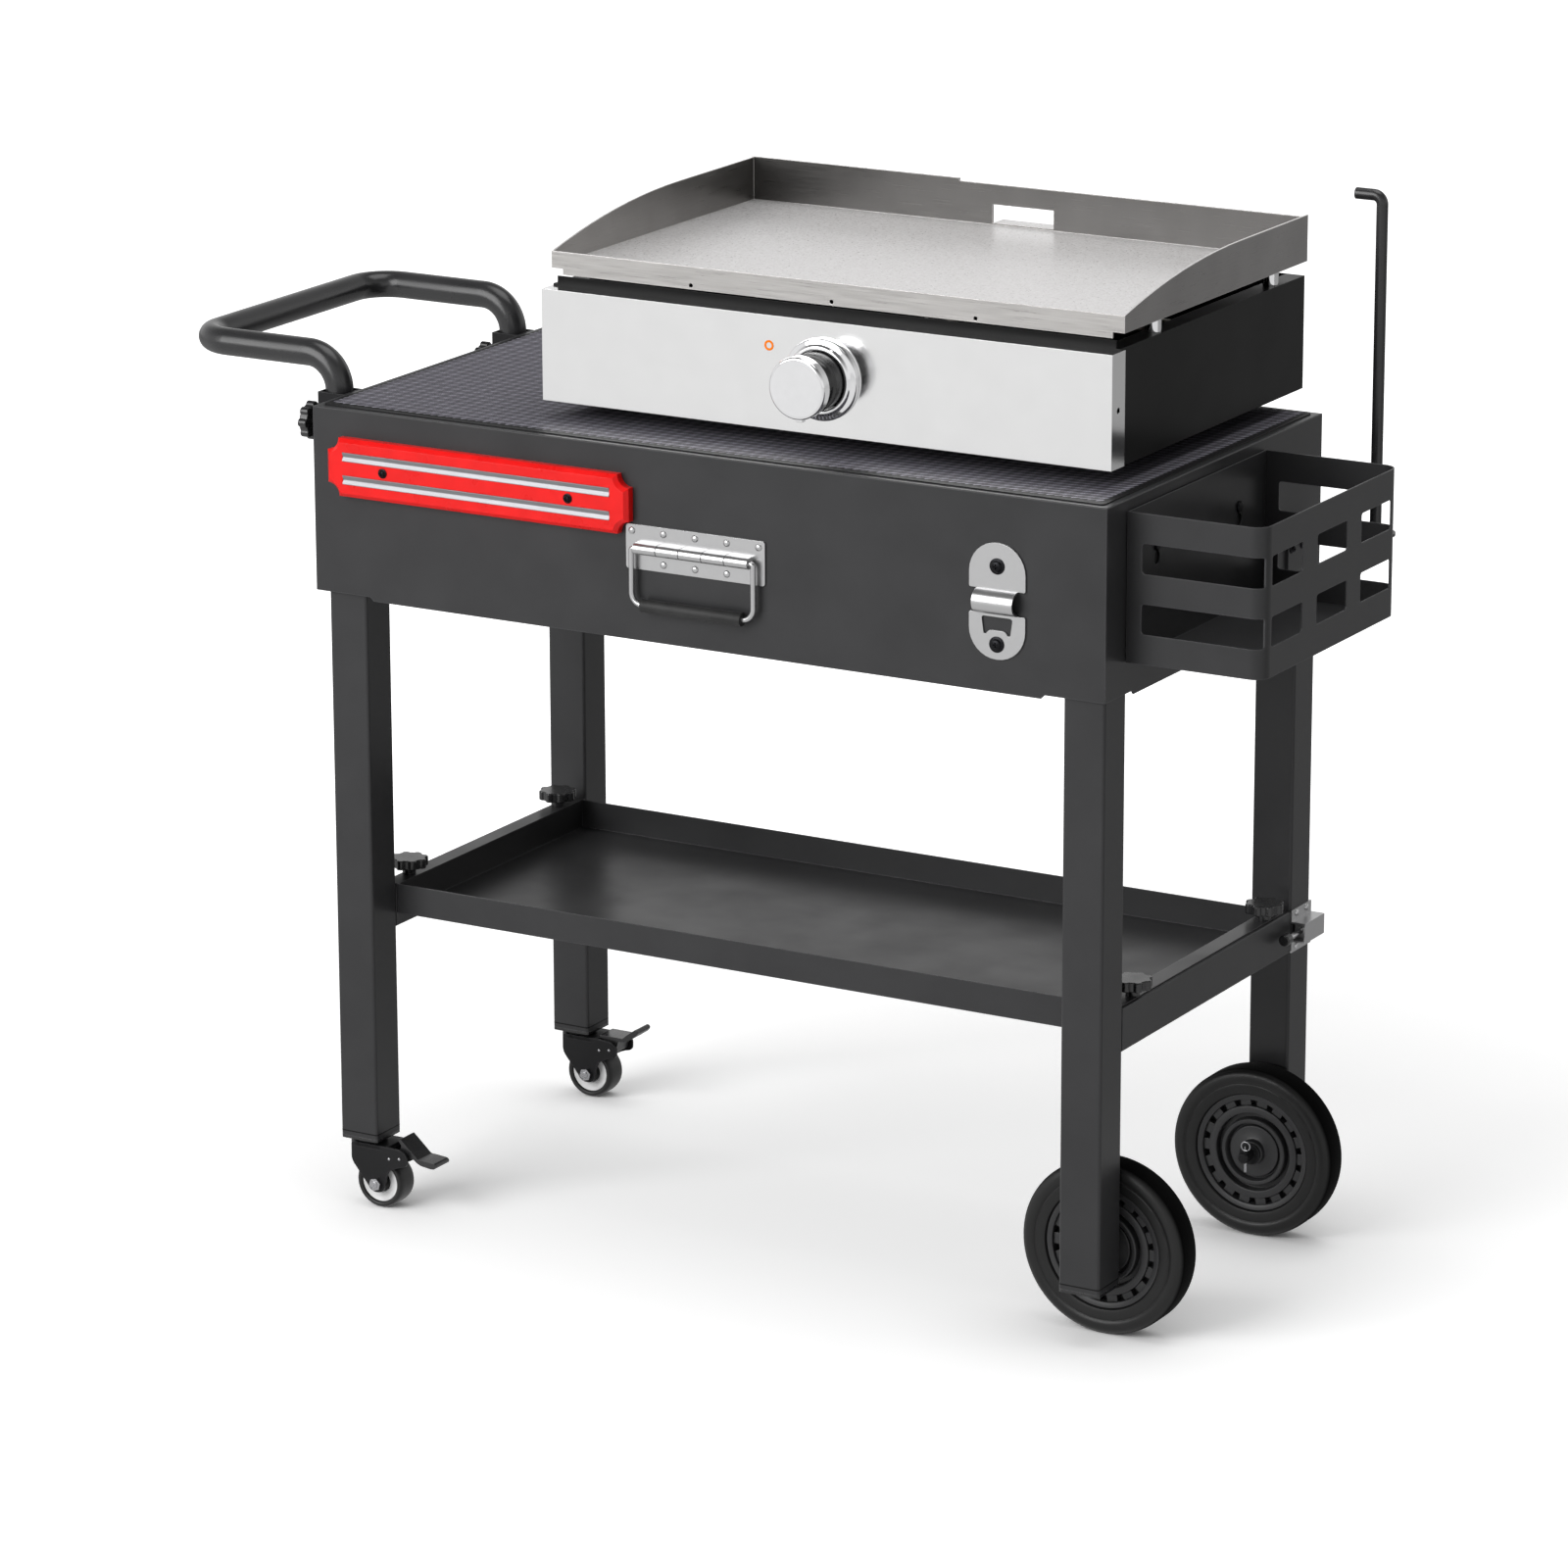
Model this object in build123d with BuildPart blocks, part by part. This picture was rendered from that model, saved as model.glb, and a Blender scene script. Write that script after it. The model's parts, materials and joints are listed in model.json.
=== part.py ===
from build123d import *
import math
import os

os.makedirs("parts", exist_ok=True)

# Case: a shallow steel box, open below, whose roof is the worktop
case_w = 900
case_d = 466
case_h = 191
worktop_z = 849
case_sheet = 1.5
edge_round = 1.2
hem_drop = 4
hem_from_leg = 7.5

# Mesh mat that lies on the worktop
mat_margin = 7.5
mat_t = 2.5
mat_corner = 5

# Legs of square tube
leg_size = 44.5
leg_wall = 1.5
leg_corner = 3
left_leg_in = 13
left_leg_bottom = 73.5
left_pivot_z = 817
right_leg_gap = 0.5
right_leg_bottom = 56
right_pivot_z = 753
leg_over_pivot = 20.5
plug_lip = 3
plug_depth = 14
plug_fit = 0.15

# Brackets that carry the tops of the legs
ear_t = 2
ear_w = 36
ear_below_pivot = 16
pin_r = 4
pin_fit = 0.05
pin_head_r = 7
pin_head_t = 1.2

# Rails between the legs
rail_w = 20
rail_h = 44.5
rail_wall = 1.5
rail_corner = 2
rail_top = 341

# Shelf tray
shelf_sheet = 1.2
shelf_depth = 30
shelf_side_gap = 0.5
shelf_flange = 17
shelf_front_gap = 1
shelf_back_gap = 8

# Star knobs
knob_lobe_circle_r = 15.5
knob_lobe_r = 4.6
knob_core_r = 17.2
knob_lobes = 8
knob_t = 10
knob_edge = 1.2
knob_collar_r = 7
stud_r = 3
stud_clear = 0.3
shelf_knob_stem = 7.5
shelf_knob_from_leg = 40
shelf_stud_below_rail = 14

# Push handle and its sockets
handle_r = 14.25
handle_wall = 1.5
handle_front_y = 73
handle_span = 329
handle_out = 190
handle_z = 885
elbow_r = 36
corner_r = 38
socket_wall = 1.5
socket_fit = 0.3
socket_h = 60
socket_floor = 2
handle_knob_drop = 35
handle_knob_stem = 13.5

# Magnet bar
bar_x = 22.7
bar_w = 354
bar_h = 60
bar_z = 791.6
bar_t = 12
bar_bevel = 4
bar_notch_r = 13
strip_h = 9
strip_apart = 23.6
strip_in = 20
strip_proud = 1
strip_groove = 2
bar_screw_in = 68

# Screws and rivets
screw_head_r = 5
screw_head_t = 2.6
screw_r = 2
opener_screw_head_r = 8
hole_fit = 0.05
rivet_head_r = 3.6
rivet_head_t = 1.6
rivet_slope = 25
rivet_r = 2

# Carry handle
carry_x = 448.5
carry_z = 749.5
carry_w = 158
carry_h = 45
carry_t = 2
carry_corner = 3
carry_rivet_apart = 36
carry_rivet_up = 16
carry_rivet_down = 15
knuckle_r = 5.75
knuckle_w = 130
knuckle_count = 5
knuckle_slit = 0.8
knuckle_out = 8
bail_r = 2.75
bail_w = 144
bail_drop = 57
bail_bend_r = 3
bail_corner_r = 12
bail_pin = 18
grip_r = 6.75
grip_w = 114

# Bottle opener
opener_x = 784
opener_z = 744.5
opener_w = 61
opener_h = 115
opener_corner_r = 30
opener_t = 2
hump_z = 744
hump_h = 24
hump_out = 14
hump_w = 44
mouth_w = 36
mouth_h = 19
mouth_drop = 24
mouth_slant = 80
tooth_w = 18
tooth_h = 9.5
opener_screw_apart = 77
opener_screw_drop = 4

# Bottle basket and the studs it hangs on
basket_w = 145
basket_front_y = 40
basket_d = 296
basket_h = 148
basket_top_drop = 11
basket_sheet = 1.5
basket_corner_r = 15
basket_gap = 1
basket_back_gap = 0.2
basket_row_count = 5
window_end_in = 16
window_wrap = 7.5
window_corner_in = 2
window_round = 3.3
window_w = 67
window_apart = 97.5
stud_head_r = 6
stud_head_t = 2
stud_play = 0.4
stud_drop = 45
stud_in = 60
keyhole_r = 6.6
keyhole_drop = 13

# Towel holder
towel_out = 88
towel_from_back = 58
towel_r = 5.8
towel_top_z = 1093.5
towel_hook = 28
towel_bend_r = 9
arm_top_z = 750
arm_t = 3
arm_w = 40
arm_foot_h = 50
boss_r = 9
boss_h = 26
towel_fit = 0.06
towel_screw_apart = 24

# Spring latch on the back right leg
latch_z = 319.5
latch_h = 45
latch_t = 2
hat_h = 21
hat_out = 17
latch_rivet_z = 17.5
latch_rivet_y = 11
latch_pin_r = 3
latch_pin_back = 5
latch_pin_front = 22
latch_axis_out = 9
guide_w = 28
guide_h = 14
latch_knob_r = 6
latch_knob_l = 11
latch_knob_round = 1.5
latch_fit = 0.05

# Large wheels
wheel_r = 89
wheel_w = 36
tyre_depth = 27
tyre_round = 5
rim_fit = 0.05
rim_lip_w = 30
rim_web_w = 14
hub_r = 15
hub_w = 33
ring_r = 38
ring_t = 6
ring_w = 24
rim_groove = 8
notch_count = 20
notch_ring_r = 50
notch_l = 7
notch_w = 10
notch_deep = 4
axle_r = 6
axle_fit = 0.08
axle_in_leg = 14
axle_end = 16
washer_r = 13
washer_t = 1.6
wheel_gap = 0.3
cotter_r = 1.5
cotter_leg_r = 1.1
cotter_eye_r = 6
cotter_leg = 12

# Swivel casters
caster_r = 27.5
caster_w = 28
caster_trail = 17.5
caster_tyre_depth = 6.5
caster_round = 3
caster_hub_w = 22
caster_rim_t = 3
caster_boss_t = 4
caster_dish = 4
caster_axle_r = 4
caster_fit = 0.06
fork_t = 2.5
fork_gap = 1.5
race_r = 17
race_t = 4
swivel_gap = 0.3
fork_top_t = 4.2
fork_top_l = 30
stem_r = 5
stem_up = 25
stem_head_r = 8
stem_head_t = 3
fork_back_in = 4
fork_back_z = 48
fork_foot_x0 = 8
fork_foot_x1 = 27
fork_foot_z = 22
fork_front_x = 31
fork_front_z = 42
fork_eye_r = 10
fork_ear_r = 9
nut_r = 7
nut_t = 3
pedal_x = 46
pedal_z = 59
pedal_w = 26
pedal_t = 3
pedal_rise = 10.5
pedal_tail = 15
pedal_flat = 15
pedal_web = 9
pedal_toe_l = 35
pedal_toe_rise = 20
pedal_hub_r = 6
pedal_pin_r = 3
pedal_head_r = 5
pedal_press = 42

# Griddle body
griddle_x = 236
griddle_y = 60
panel_w = 637
panel_h = 113
panel_t = 1.5
panel_return = 27
panel_top_d = 20
panel_side_hole_r = 3
box_d = 399
box_sheet = 1.5
box_side_h = 115
box_rim_h = 123
rim_in = 5
box_ledge = 20
foot_h = 17.5
foot_r = 14
foot_in = 70

# Burner, valve and gas pipe inside the griddle body
burner_r = 12
burner_l = 480
burner_front_in = 100
burner_apart = 200
burner_z = 66
burner_leg_t = 3
burner_leg_in = 40
valve_w = 40
valve_h = 50
valve_d = 32
pipe_r = 5
pipe_x = 90
pipe_z = 30
pipe_out = 26
pipe_bend_r = 20
inlet_r = 9
inlet_l = 16
pipe_hole = 0.4

# Control knob
control_x = 321
control_z = 56
control_out = 52
control_r = 31
control_face_t = 14
control_bevel = 3
control_waist_r = 25
control_waist_l = 14
control_base_r = 29
control_back_gap = 4.5
control_tab_w = 8
control_tab_h = 5
bezel_r = 41
bezel_in_r = 33
bezel_t = 6
bezel_step_r = 37
bezel_step_t = 4
valve_stem_r = 4
stem_fit = 0.05
stem_hole = 1
stem_in_valve = 14
stem_spare = 6
stem_in_knob = 36

# Griddle plate
plate_over = 1.5
plate_y = 22
plate_d = 396
plate_t = 3
plate_wall_t = 2
plate_floor_z = 1002
plate_lip_h = 14
apron_drop = 9
apron_in = 13
plate_side_h = 44
plate_curve_y = 245
plate_curve_lift = 7.5
plate_back_high = 45
plate_back_low = 42
plate_step_x = 246
drain_w = 70
drain_h = 19
drain_up = 2
spout_l = 20
spout_t = 1.5
apron_hole_r = 2.2
apron_hole_apart = 159
apron_hole_up = 4
post_r = 8
post_in = 13
post_front_y = 85
post_back_y = 340

# Grease cup
cup_w = 96
cup_d = 50
cup_h = 52
cup_sheet = 1
cup_gap = 0.5
cup_corner = 5
cup_hook = 7
cup_hook_w = 48
cup_top_drop = 6

# Where the pieces stand in the shared frame
griddle_back = griddle_y + panel_top_d + box_d
left_reach = handle_out + handle_r
right_reach = basket_gap + basket_w
front_reach = knuckle_out + grip_r
back_reach = griddle_back + cup_gap + cup_d - case_d
x0 = left_reach - (left_reach + case_w + right_reach) / 2
x1 = x0 + case_w
y0 = front_reach - (front_reach + case_d + back_reach) / 2
y1 = y0 + case_d
x_mid = (x0 + x1) / 2
y_mid = (y0 + y1) / 2
case_z = worktop_z - case_h
rod_x = x1 + towel_out
rod_y = y1 - towel_from_back
left_leg_x = x0 + left_leg_in + leg_size / 2
right_leg_x = x1 - case_sheet - right_leg_gap - leg_size / 2
front_leg_y = y0 + case_sheet + ear_t + leg_size / 2
back_leg_y = y1 - case_sheet - ear_t - leg_size / 2
leg_front_face = front_leg_y + leg_size / 2
leg_back_face = back_leg_y - leg_size / 2
left_rail_x = left_leg_x + leg_size / 2 - rail_w / 2
right_rail_x = right_leg_x + leg_size / 2 - rail_w / 2
shelf_knob_front_y = leg_front_face + shelf_knob_from_leg
shelf_knob_back_y = leg_back_face - shelf_knob_from_leg


def facing_front(y):
    """Plane at a depth y that looks to the front: its X runs right and its Y runs up."""
    return Plane.XZ.offset(-y)


def facing_right(x):
    """Plane at a width x that looks to the right: its X runs back and its Y runs up."""
    return Plane.YZ.offset(x)


def level(z):
    """Level plane at a height z."""
    return Plane.XY.offset(z)


def keep(piece, name):
    """Names a finished piece and writes its file."""
    piece.label = name
    export_step(piece, f"parts/{name}.step")


def cross_section(x, y, z):
    """Plane through a front-to-back axle: its X runs back and its Y is the radius."""
    return Plane(origin=(x, y, z), x_dir=(0, 1, 0), z_dir=(1, 0, 0))


# Case shell: roof and four skirts, each a sheet of its own
def skirt_outline(length, end_in):
    """Outline of a skirt seen from outside, with its middle hanging lower."""
    half = length / 2
    step = half - end_in
    points = [
        (-half, case_h), (half, case_h), (half, 0), (step, 0), (step - hem_drop, -hem_drop),
        (hem_drop - step, -hem_drop), (-step, 0), (-half, 0),
    ]
    Polygon(*points, align=None)


hem_end_left = left_leg_in + leg_size + hem_from_leg
carry_rivets = [(carry_x + i * carry_rivet_apart, carry_z + carry_rivet_up) for i in (-2, -1, 0, 1, 2)]
carry_rivets += [(carry_x + i * carry_rivet_apart, carry_z - carry_rivet_down) for i in (-1, 0, 1)]
bar_screws = [(bar_x + bar_screw_in, bar_z), (bar_x + bar_w - bar_screw_in, bar_z)]
opener_screw_z = opener_z - opener_screw_drop
opener_screws = [(opener_x, opener_screw_z + i * opener_screw_apart / 2) for i in (1, -1)]
basket_stud_z = worktop_z - basket_top_drop - stud_drop
basket_studs_y = [basket_front_y + stud_in, basket_front_y + basket_d - stud_in]
towel_foot_z = arm_top_z - arm_foot_h / 2

with BuildPart() as case_roof:
    with BuildSketch(level(worktop_z - case_sheet)):
        with Locations((x_mid, y_mid)):
            Rectangle(case_w - 2 * case_sheet, case_d - 2 * case_sheet)
    extrude(amount=case_sheet)
keep(case_roof.part, "case_roof")

with BuildPart() as case_sides:
    for skirt_y in (y0 + case_sheet, y1):
        with BuildSketch(facing_front(skirt_y)):
            with Locations((x_mid, case_z)):
                skirt_outline(case_w, hem_end_left)
        extrude(amount=case_sheet)
    top_edges = case_sides.edges().filter_by(Axis.X).group_by(Axis.Z)[-1].sort_by(Axis.Y)
    fillet([top_edges[0], top_edges[-1]], edge_round)
    with BuildSketch(facing_front(y0)):
        for sx, sz in carry_rivets:
            with Locations((x0 + sx, sz)):
                Circle(rivet_r + hole_fit)
        for sx, sz in bar_screws + opener_screws:
            with Locations((x0 + sx, sz)):
                Circle(screw_r + hole_fit)
    extrude(amount=-case_sheet, mode=Mode.SUBTRACT)
keep(case_sides.part, "case_sides")

end_length = case_d - 2 * case_sheet
hem_end_side = ear_t + leg_size + hem_from_leg

with BuildPart() as case_ends:
    for skirt_x in (x0, x1 - case_sheet):
        with BuildSketch(facing_right(skirt_x)):
            with Locations((y_mid, case_z)):
                skirt_outline(end_length, hem_end_side)
        extrude(amount=case_sheet)
    top_edges = case_ends.edges().filter_by(Axis.Y).group_by(Axis.Z)[-1].sort_by(Axis.X)
    fillet([top_edges[0], top_edges[-1]], edge_round)
    with BuildSketch(facing_right(x1)):
        for stud_y in basket_studs_y:
            with Locations((y0 + stud_y, basket_stud_z)):
                Circle(stud_r + hole_fit)
        for side in (-1, 1):
            with Locations((rod_y + side * towel_screw_apart / 2, towel_foot_z)):
                Circle(screw_r + hole_fit)
    extrude(amount=-case_sheet, mode=Mode.SUBTRACT)
keep(case_ends.part, "case_ends")

with BuildPart() as mesh_mat:
    with BuildSketch(level(worktop_z)):
        with Locations((x_mid, y_mid)):
            RectangleRounded(case_w - 2 * mat_margin, case_d - 2 * mat_margin, mat_corner)
    extrude(amount=mat_t)
keep(mesh_mat.part, "mesh_mat")


# Legs, with a pin hole near the top and, on the right, an axle hole near the bottom
def leg(x, y, bottom, pivot, axle_side):
    """Square tube leg; axle_side is 1 or -1 where the wheel is behind or before it, else 0."""
    with BuildPart() as tube:
        with BuildSketch(level(bottom + plug_lip)):
            with Locations((x, y)):
                RectangleRounded(leg_size, leg_size, leg_corner)
                RectangleRounded(leg_size - 2 * leg_wall, leg_size - 2 * leg_wall,
                                 leg_corner - leg_wall, mode=Mode.SUBTRACT)
        extrude(amount=pivot + leg_over_pivot - bottom - plug_lip)
        with BuildSketch(facing_front(y)):
            with Locations((x, pivot)):
                Circle(pin_r + pin_fit)
        extrude(amount=leg_size, both=True, mode=Mode.SUBTRACT)
        if axle_side:
            with BuildSketch(facing_front(y)):
                with Locations((x, wheel_r)):
                    Circle(axle_r + axle_fit)
            extrude(amount=-axle_side * leg_size, mode=Mode.SUBTRACT)
    return tube.part


legs = [
    ("leg_front_left", left_leg_x, front_leg_y, left_leg_bottom, left_pivot_z, 0),
    ("leg_back_left", left_leg_x, back_leg_y, left_leg_bottom, left_pivot_z, 0),
    ("leg_front_right", right_leg_x, front_leg_y, right_leg_bottom, right_pivot_z, 1),
    ("leg_back_right", right_leg_x, back_leg_y, right_leg_bottom, right_pivot_z, -1),
]
for leg_name, leg_x, leg_y, leg_bottom, leg_pivot, axle_way in legs:
    keep(leg(leg_x, leg_y, leg_bottom, leg_pivot, axle_way), leg_name)

with BuildPart() as leg_plugs:
    for _, leg_x, leg_y, leg_bottom, _, axle_way in legs:
        with BuildSketch(level(leg_bottom)):
            with Locations((leg_x, leg_y)):
                RectangleRounded(leg_size, leg_size, leg_corner)
        extrude(amount=plug_lip)
        plug_size = leg_size - 2 * leg_wall - 2 * plug_fit
        with BuildSketch(level(leg_bottom + plug_lip)):
            with Locations((leg_x, leg_y)):
                RectangleRounded(plug_size, plug_size, leg_corner - leg_wall)
        extrude(amount=plug_depth)
        if not axle_way:
            with BuildSketch(level(leg_bottom)):
                with Locations((leg_x, leg_y)):
                    Circle(stem_r + hole_fit)
            extrude(amount=plug_lip + plug_depth, mode=Mode.SUBTRACT)
keep(leg_plugs.part, "leg_plugs")

with BuildPart() as leg_brackets:
    roof_under = worktop_z - case_sheet
    ear_at = leg_size / 2 + ear_t / 2
    for _, leg_x, leg_y, _, leg_pivot, _ in legs:
        ear_h = roof_under - leg_pivot + ear_below_pivot
        with BuildSketch(level(roof_under - ear_t)):
            with Locations((leg_x, leg_y)):
                Rectangle(ear_w, leg_size + 2 * ear_t)
        extrude(amount=ear_t)
        for side in (-1, 1):
            with BuildSketch(facing_front(leg_y + side * ear_at + ear_t / 2)):
                with Locations((leg_x, roof_under - ear_h / 2)):
                    Rectangle(ear_w, ear_h)
                with Locations((leg_x, leg_pivot)):
                    Circle(pin_r + pin_fit, mode=Mode.SUBTRACT)
            extrude(amount=ear_t)
    for _, leg_x, leg_y, _, leg_pivot, _ in legs:
        inward = 1 if leg_y < y_mid else -1
        pin_half = leg_size / 2 + ear_t
        with BuildSketch(facing_front(leg_y)):
            with Locations((leg_x, leg_pivot)):
                Circle(pin_r)
        extrude(amount=pin_half, both=True)
        with BuildSketch(facing_front(leg_y + inward * pin_half)):
            with Locations((leg_x, leg_pivot)):
                Circle(pin_head_r)
        extrude(amount=-inward * pin_head_t)
keep(leg_brackets.part, "leg_brackets")


# Rails and the shelf that rests on them
with BuildPart() as side_rails:
    for rail_x in (left_rail_x, right_rail_x):
        with BuildSketch(facing_front(leg_back_face)):
            with Locations((rail_x, rail_top - rail_h / 2)):
                RectangleRounded(rail_w, rail_h, rail_corner)
                RectangleRounded(rail_w - 2 * rail_wall, rail_h - 2 * rail_wall,
                                 rail_corner - rail_wall, mode=Mode.SUBTRACT)
        extrude(amount=leg_back_face - leg_front_face)
        with BuildSketch(level(rail_top)):
            with Locations((rail_x, shelf_knob_front_y), (rail_x, shelf_knob_back_y)):
                Circle(stud_r + stud_clear)
        extrude(amount=-rail_h / 2, mode=Mode.SUBTRACT)
keep(side_rails.part, "side_rails")

tray_left = left_rail_x + rail_w / 2 + shelf_side_gap
tray_right = right_rail_x - rail_w / 2 - shelf_side_gap
tray_front = leg_front_face + shelf_front_gap
tray_back = leg_back_face - shelf_back_gap
tray_x = (tray_left + tray_right) / 2
tray_y = (tray_front + tray_back) / 2
tray_w = tray_right - tray_left
tray_d = tray_back - tray_front
with BuildPart() as shelf_tray:
    with BuildSketch(level(rail_top - shelf_depth)):
        with Locations((tray_x, tray_y)):
            Rectangle(tray_w, tray_d)
    extrude(amount=shelf_depth + shelf_sheet)
    with BuildSketch(level(rail_top - shelf_depth + shelf_sheet)):
        with Locations((tray_x, tray_y)):
            Rectangle(tray_w - 2 * shelf_sheet, tray_d - 2 * shelf_sheet)
    extrude(amount=shelf_depth + shelf_sheet, mode=Mode.SUBTRACT)
    flange_w = shelf_flange + shelf_side_gap + shelf_sheet
    with BuildSketch(level(rail_top)):
        with Locations((tray_left + shelf_sheet - flange_w / 2, tray_y),
                       (tray_right - shelf_sheet + flange_w / 2, tray_y)):
            Rectangle(flange_w, tray_d)
        for knob_y in (shelf_knob_front_y, shelf_knob_back_y):
            with Locations((left_rail_x, knob_y), (right_rail_x, knob_y)):
                Circle(stud_r + stud_clear, mode=Mode.SUBTRACT)
    extrude(amount=shelf_sheet)
keep(shelf_tray.part, "shelf_tray")


def star_knob(seat, stem, stud_length):
    """Knob with a lobed grip above a seat plane and a threaded stud below it."""
    axis = Axis(seat.origin, seat.z_dir)
    with BuildPart() as knob:
        with BuildSketch(seat.offset(stem)):
            Circle(knob_core_r)
            with PolarLocations(knob_lobe_circle_r, knob_lobes):
                Circle(knob_lobe_r)
        extrude(amount=knob_t)
        rims = knob.faces().filter_by(GeomType.PLANE).sort_by(axis)
        fillet(rims[-1].edges() + rims[0].edges(), knob_edge)
        with BuildSketch(seat):
            Circle(knob_collar_r)
        extrude(amount=stem)
        with BuildSketch(seat):
            Circle(stud_r)
        extrude(amount=-stud_length)
    return knob.part


shelf_knobs = [
    ("shelf_knob_front_left", left_rail_x, shelf_knob_front_y),
    ("shelf_knob_back_left", left_rail_x, shelf_knob_back_y),
    ("shelf_knob_front_right", right_rail_x, shelf_knob_front_y),
    ("shelf_knob_back_right", right_rail_x, shelf_knob_back_y),
]
for knob_name, knob_x, knob_y in shelf_knobs:
    knob_seat = Plane(origin=(knob_x, knob_y, rail_top + shelf_sheet), z_dir=(0, 0, 1))
    keep(star_knob(knob_seat, shelf_knob_stem, shelf_sheet + shelf_stud_below_rail), knob_name)

# Push handle: one bent tube whose ends stand in two sockets on the left skirt
socket_in = handle_r + socket_fit
socket_out = socket_in + socket_wall
handle_x = x0 - socket_out
handle_ys = (y0 + handle_front_y, y0 + handle_front_y + handle_span)
socket_z = worktop_z - socket_h
handle_end_z = socket_z + socket_floor
handle_knob_z = worktop_z - handle_knob_drop
with BuildPart() as handle_sockets:
    for handle_y in handle_ys:
        with BuildSketch(level(socket_z)):
            with Locations((handle_x, handle_y)):
                Rectangle(2 * socket_out, 2 * socket_out)
        extrude(amount=socket_h)
        with BuildSketch(level(handle_end_z)):
            with Locations((handle_x, handle_y)):
                Rectangle(2 * socket_in, 2 * socket_in)
        extrude(amount=socket_h, mode=Mode.SUBTRACT)
        with BuildSketch(facing_right(handle_x)):
            with Locations((handle_y, handle_knob_z)):
                Circle(stud_r + stud_clear)
        extrude(amount=-2 * socket_out, mode=Mode.SUBTRACT)
keep(handle_sockets.part, "handle_sockets")

with BuildPart() as handle_tube:
    grip_x = x0 - handle_out
    with BuildLine():
        FilletPolyline(
            (handle_x, handle_ys[0], handle_end_z), (handle_x, handle_ys[0], handle_z),
            (grip_x, handle_ys[0], handle_z), (grip_x, handle_ys[1], handle_z),
            (handle_x, handle_ys[1], handle_z), (handle_x, handle_ys[1], handle_end_z),
            radius=[elbow_r, corner_r, corner_r, elbow_r])
    with BuildSketch(level(handle_end_z)):
        with Locations((handle_x, handle_ys[0])):
            Circle(handle_r)
            Circle(handle_r - handle_wall, mode=Mode.SUBTRACT)
    sweep()
keep(handle_tube.part, "handle_tube")

for knob_name, handle_y in (("handle_knob_front", handle_ys[0]), ("handle_knob_back", handle_ys[1])):
    knob_seat = Plane(origin=(handle_x - socket_out, handle_y, handle_knob_z),
                      x_dir=(0, 1, 0), z_dir=(-1, 0, 0))
    keep(star_knob(knob_seat, handle_knob_stem, socket_wall), knob_name)

# Magnet bar on the front skirt
bar_mid = x0 + bar_x + bar_w / 2
with BuildPart() as magnet_bar:
    with BuildSketch(facing_front(y0)):
        with Locations((bar_mid, bar_z)):
            Rectangle(bar_w, bar_h)
            with GridLocations(bar_w, bar_h, 2, 2):
                Circle(bar_notch_r, mode=Mode.SUBTRACT)
    extrude(amount=bar_t)
    chamfer(magnet_bar.faces().sort_by(Axis.Y)[0].edges(), bar_bevel)
    with BuildSketch(facing_front(y0 - bar_t)):
        with Locations((bar_mid, bar_z + strip_apart / 2), (bar_mid, bar_z - strip_apart / 2)):
            Rectangle(bar_w - 2 * strip_in, strip_h)
    extrude(amount=-strip_groove, mode=Mode.SUBTRACT)
    with BuildSketch(facing_front(y0)):
        for sx, sz in bar_screws:
            with Locations((x0 + sx, sz)):
                Circle(screw_r + hole_fit)
    extrude(amount=bar_t, mode=Mode.SUBTRACT)
keep(magnet_bar.part, "magnet_bar")

with BuildPart() as magnet_strips:
    with BuildSketch(facing_front(y0 - bar_t + strip_groove)):
        with Locations((bar_mid, bar_z + strip_apart / 2), (bar_mid, bar_z - strip_apart / 2)):
            Rectangle(bar_w - 2 * strip_in, strip_h)
    extrude(amount=strip_groove + strip_proud)
keep(magnet_strips.part, "magnet_strips")

# Black screws of the magnet bar, the opener and the towel arm
with BuildPart() as black_screws:
    for points, seat, head_r in ((bar_screws, bar_t, screw_head_r),
                                 (opener_screws, opener_t, opener_screw_head_r)):
        for sx, sz in points:
            with BuildSketch(facing_front(y0 - seat)):
                with Locations((x0 + sx, sz)):
                    Circle(head_r)
            extrude(amount=screw_head_t)
            with BuildSketch(facing_front(y0 - seat)):
                with Locations((x0 + sx, sz)):
                    Circle(screw_r)
            extrude(amount=-seat - case_sheet)
    for side in (-1, 1):
        screw_y = rod_y + side * towel_screw_apart / 2
        with BuildSketch(facing_right(x1 + arm_t)):
            with Locations((screw_y, towel_foot_z)):
                Circle(screw_head_r)
        extrude(amount=screw_head_t)
        with BuildSketch(facing_right(x1 + arm_t)):
            with Locations((screw_y, towel_foot_z)):
                Circle(screw_r)
        extrude(amount=-arm_t - case_sheet)
keep(black_screws.part, "black_screws")

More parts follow.
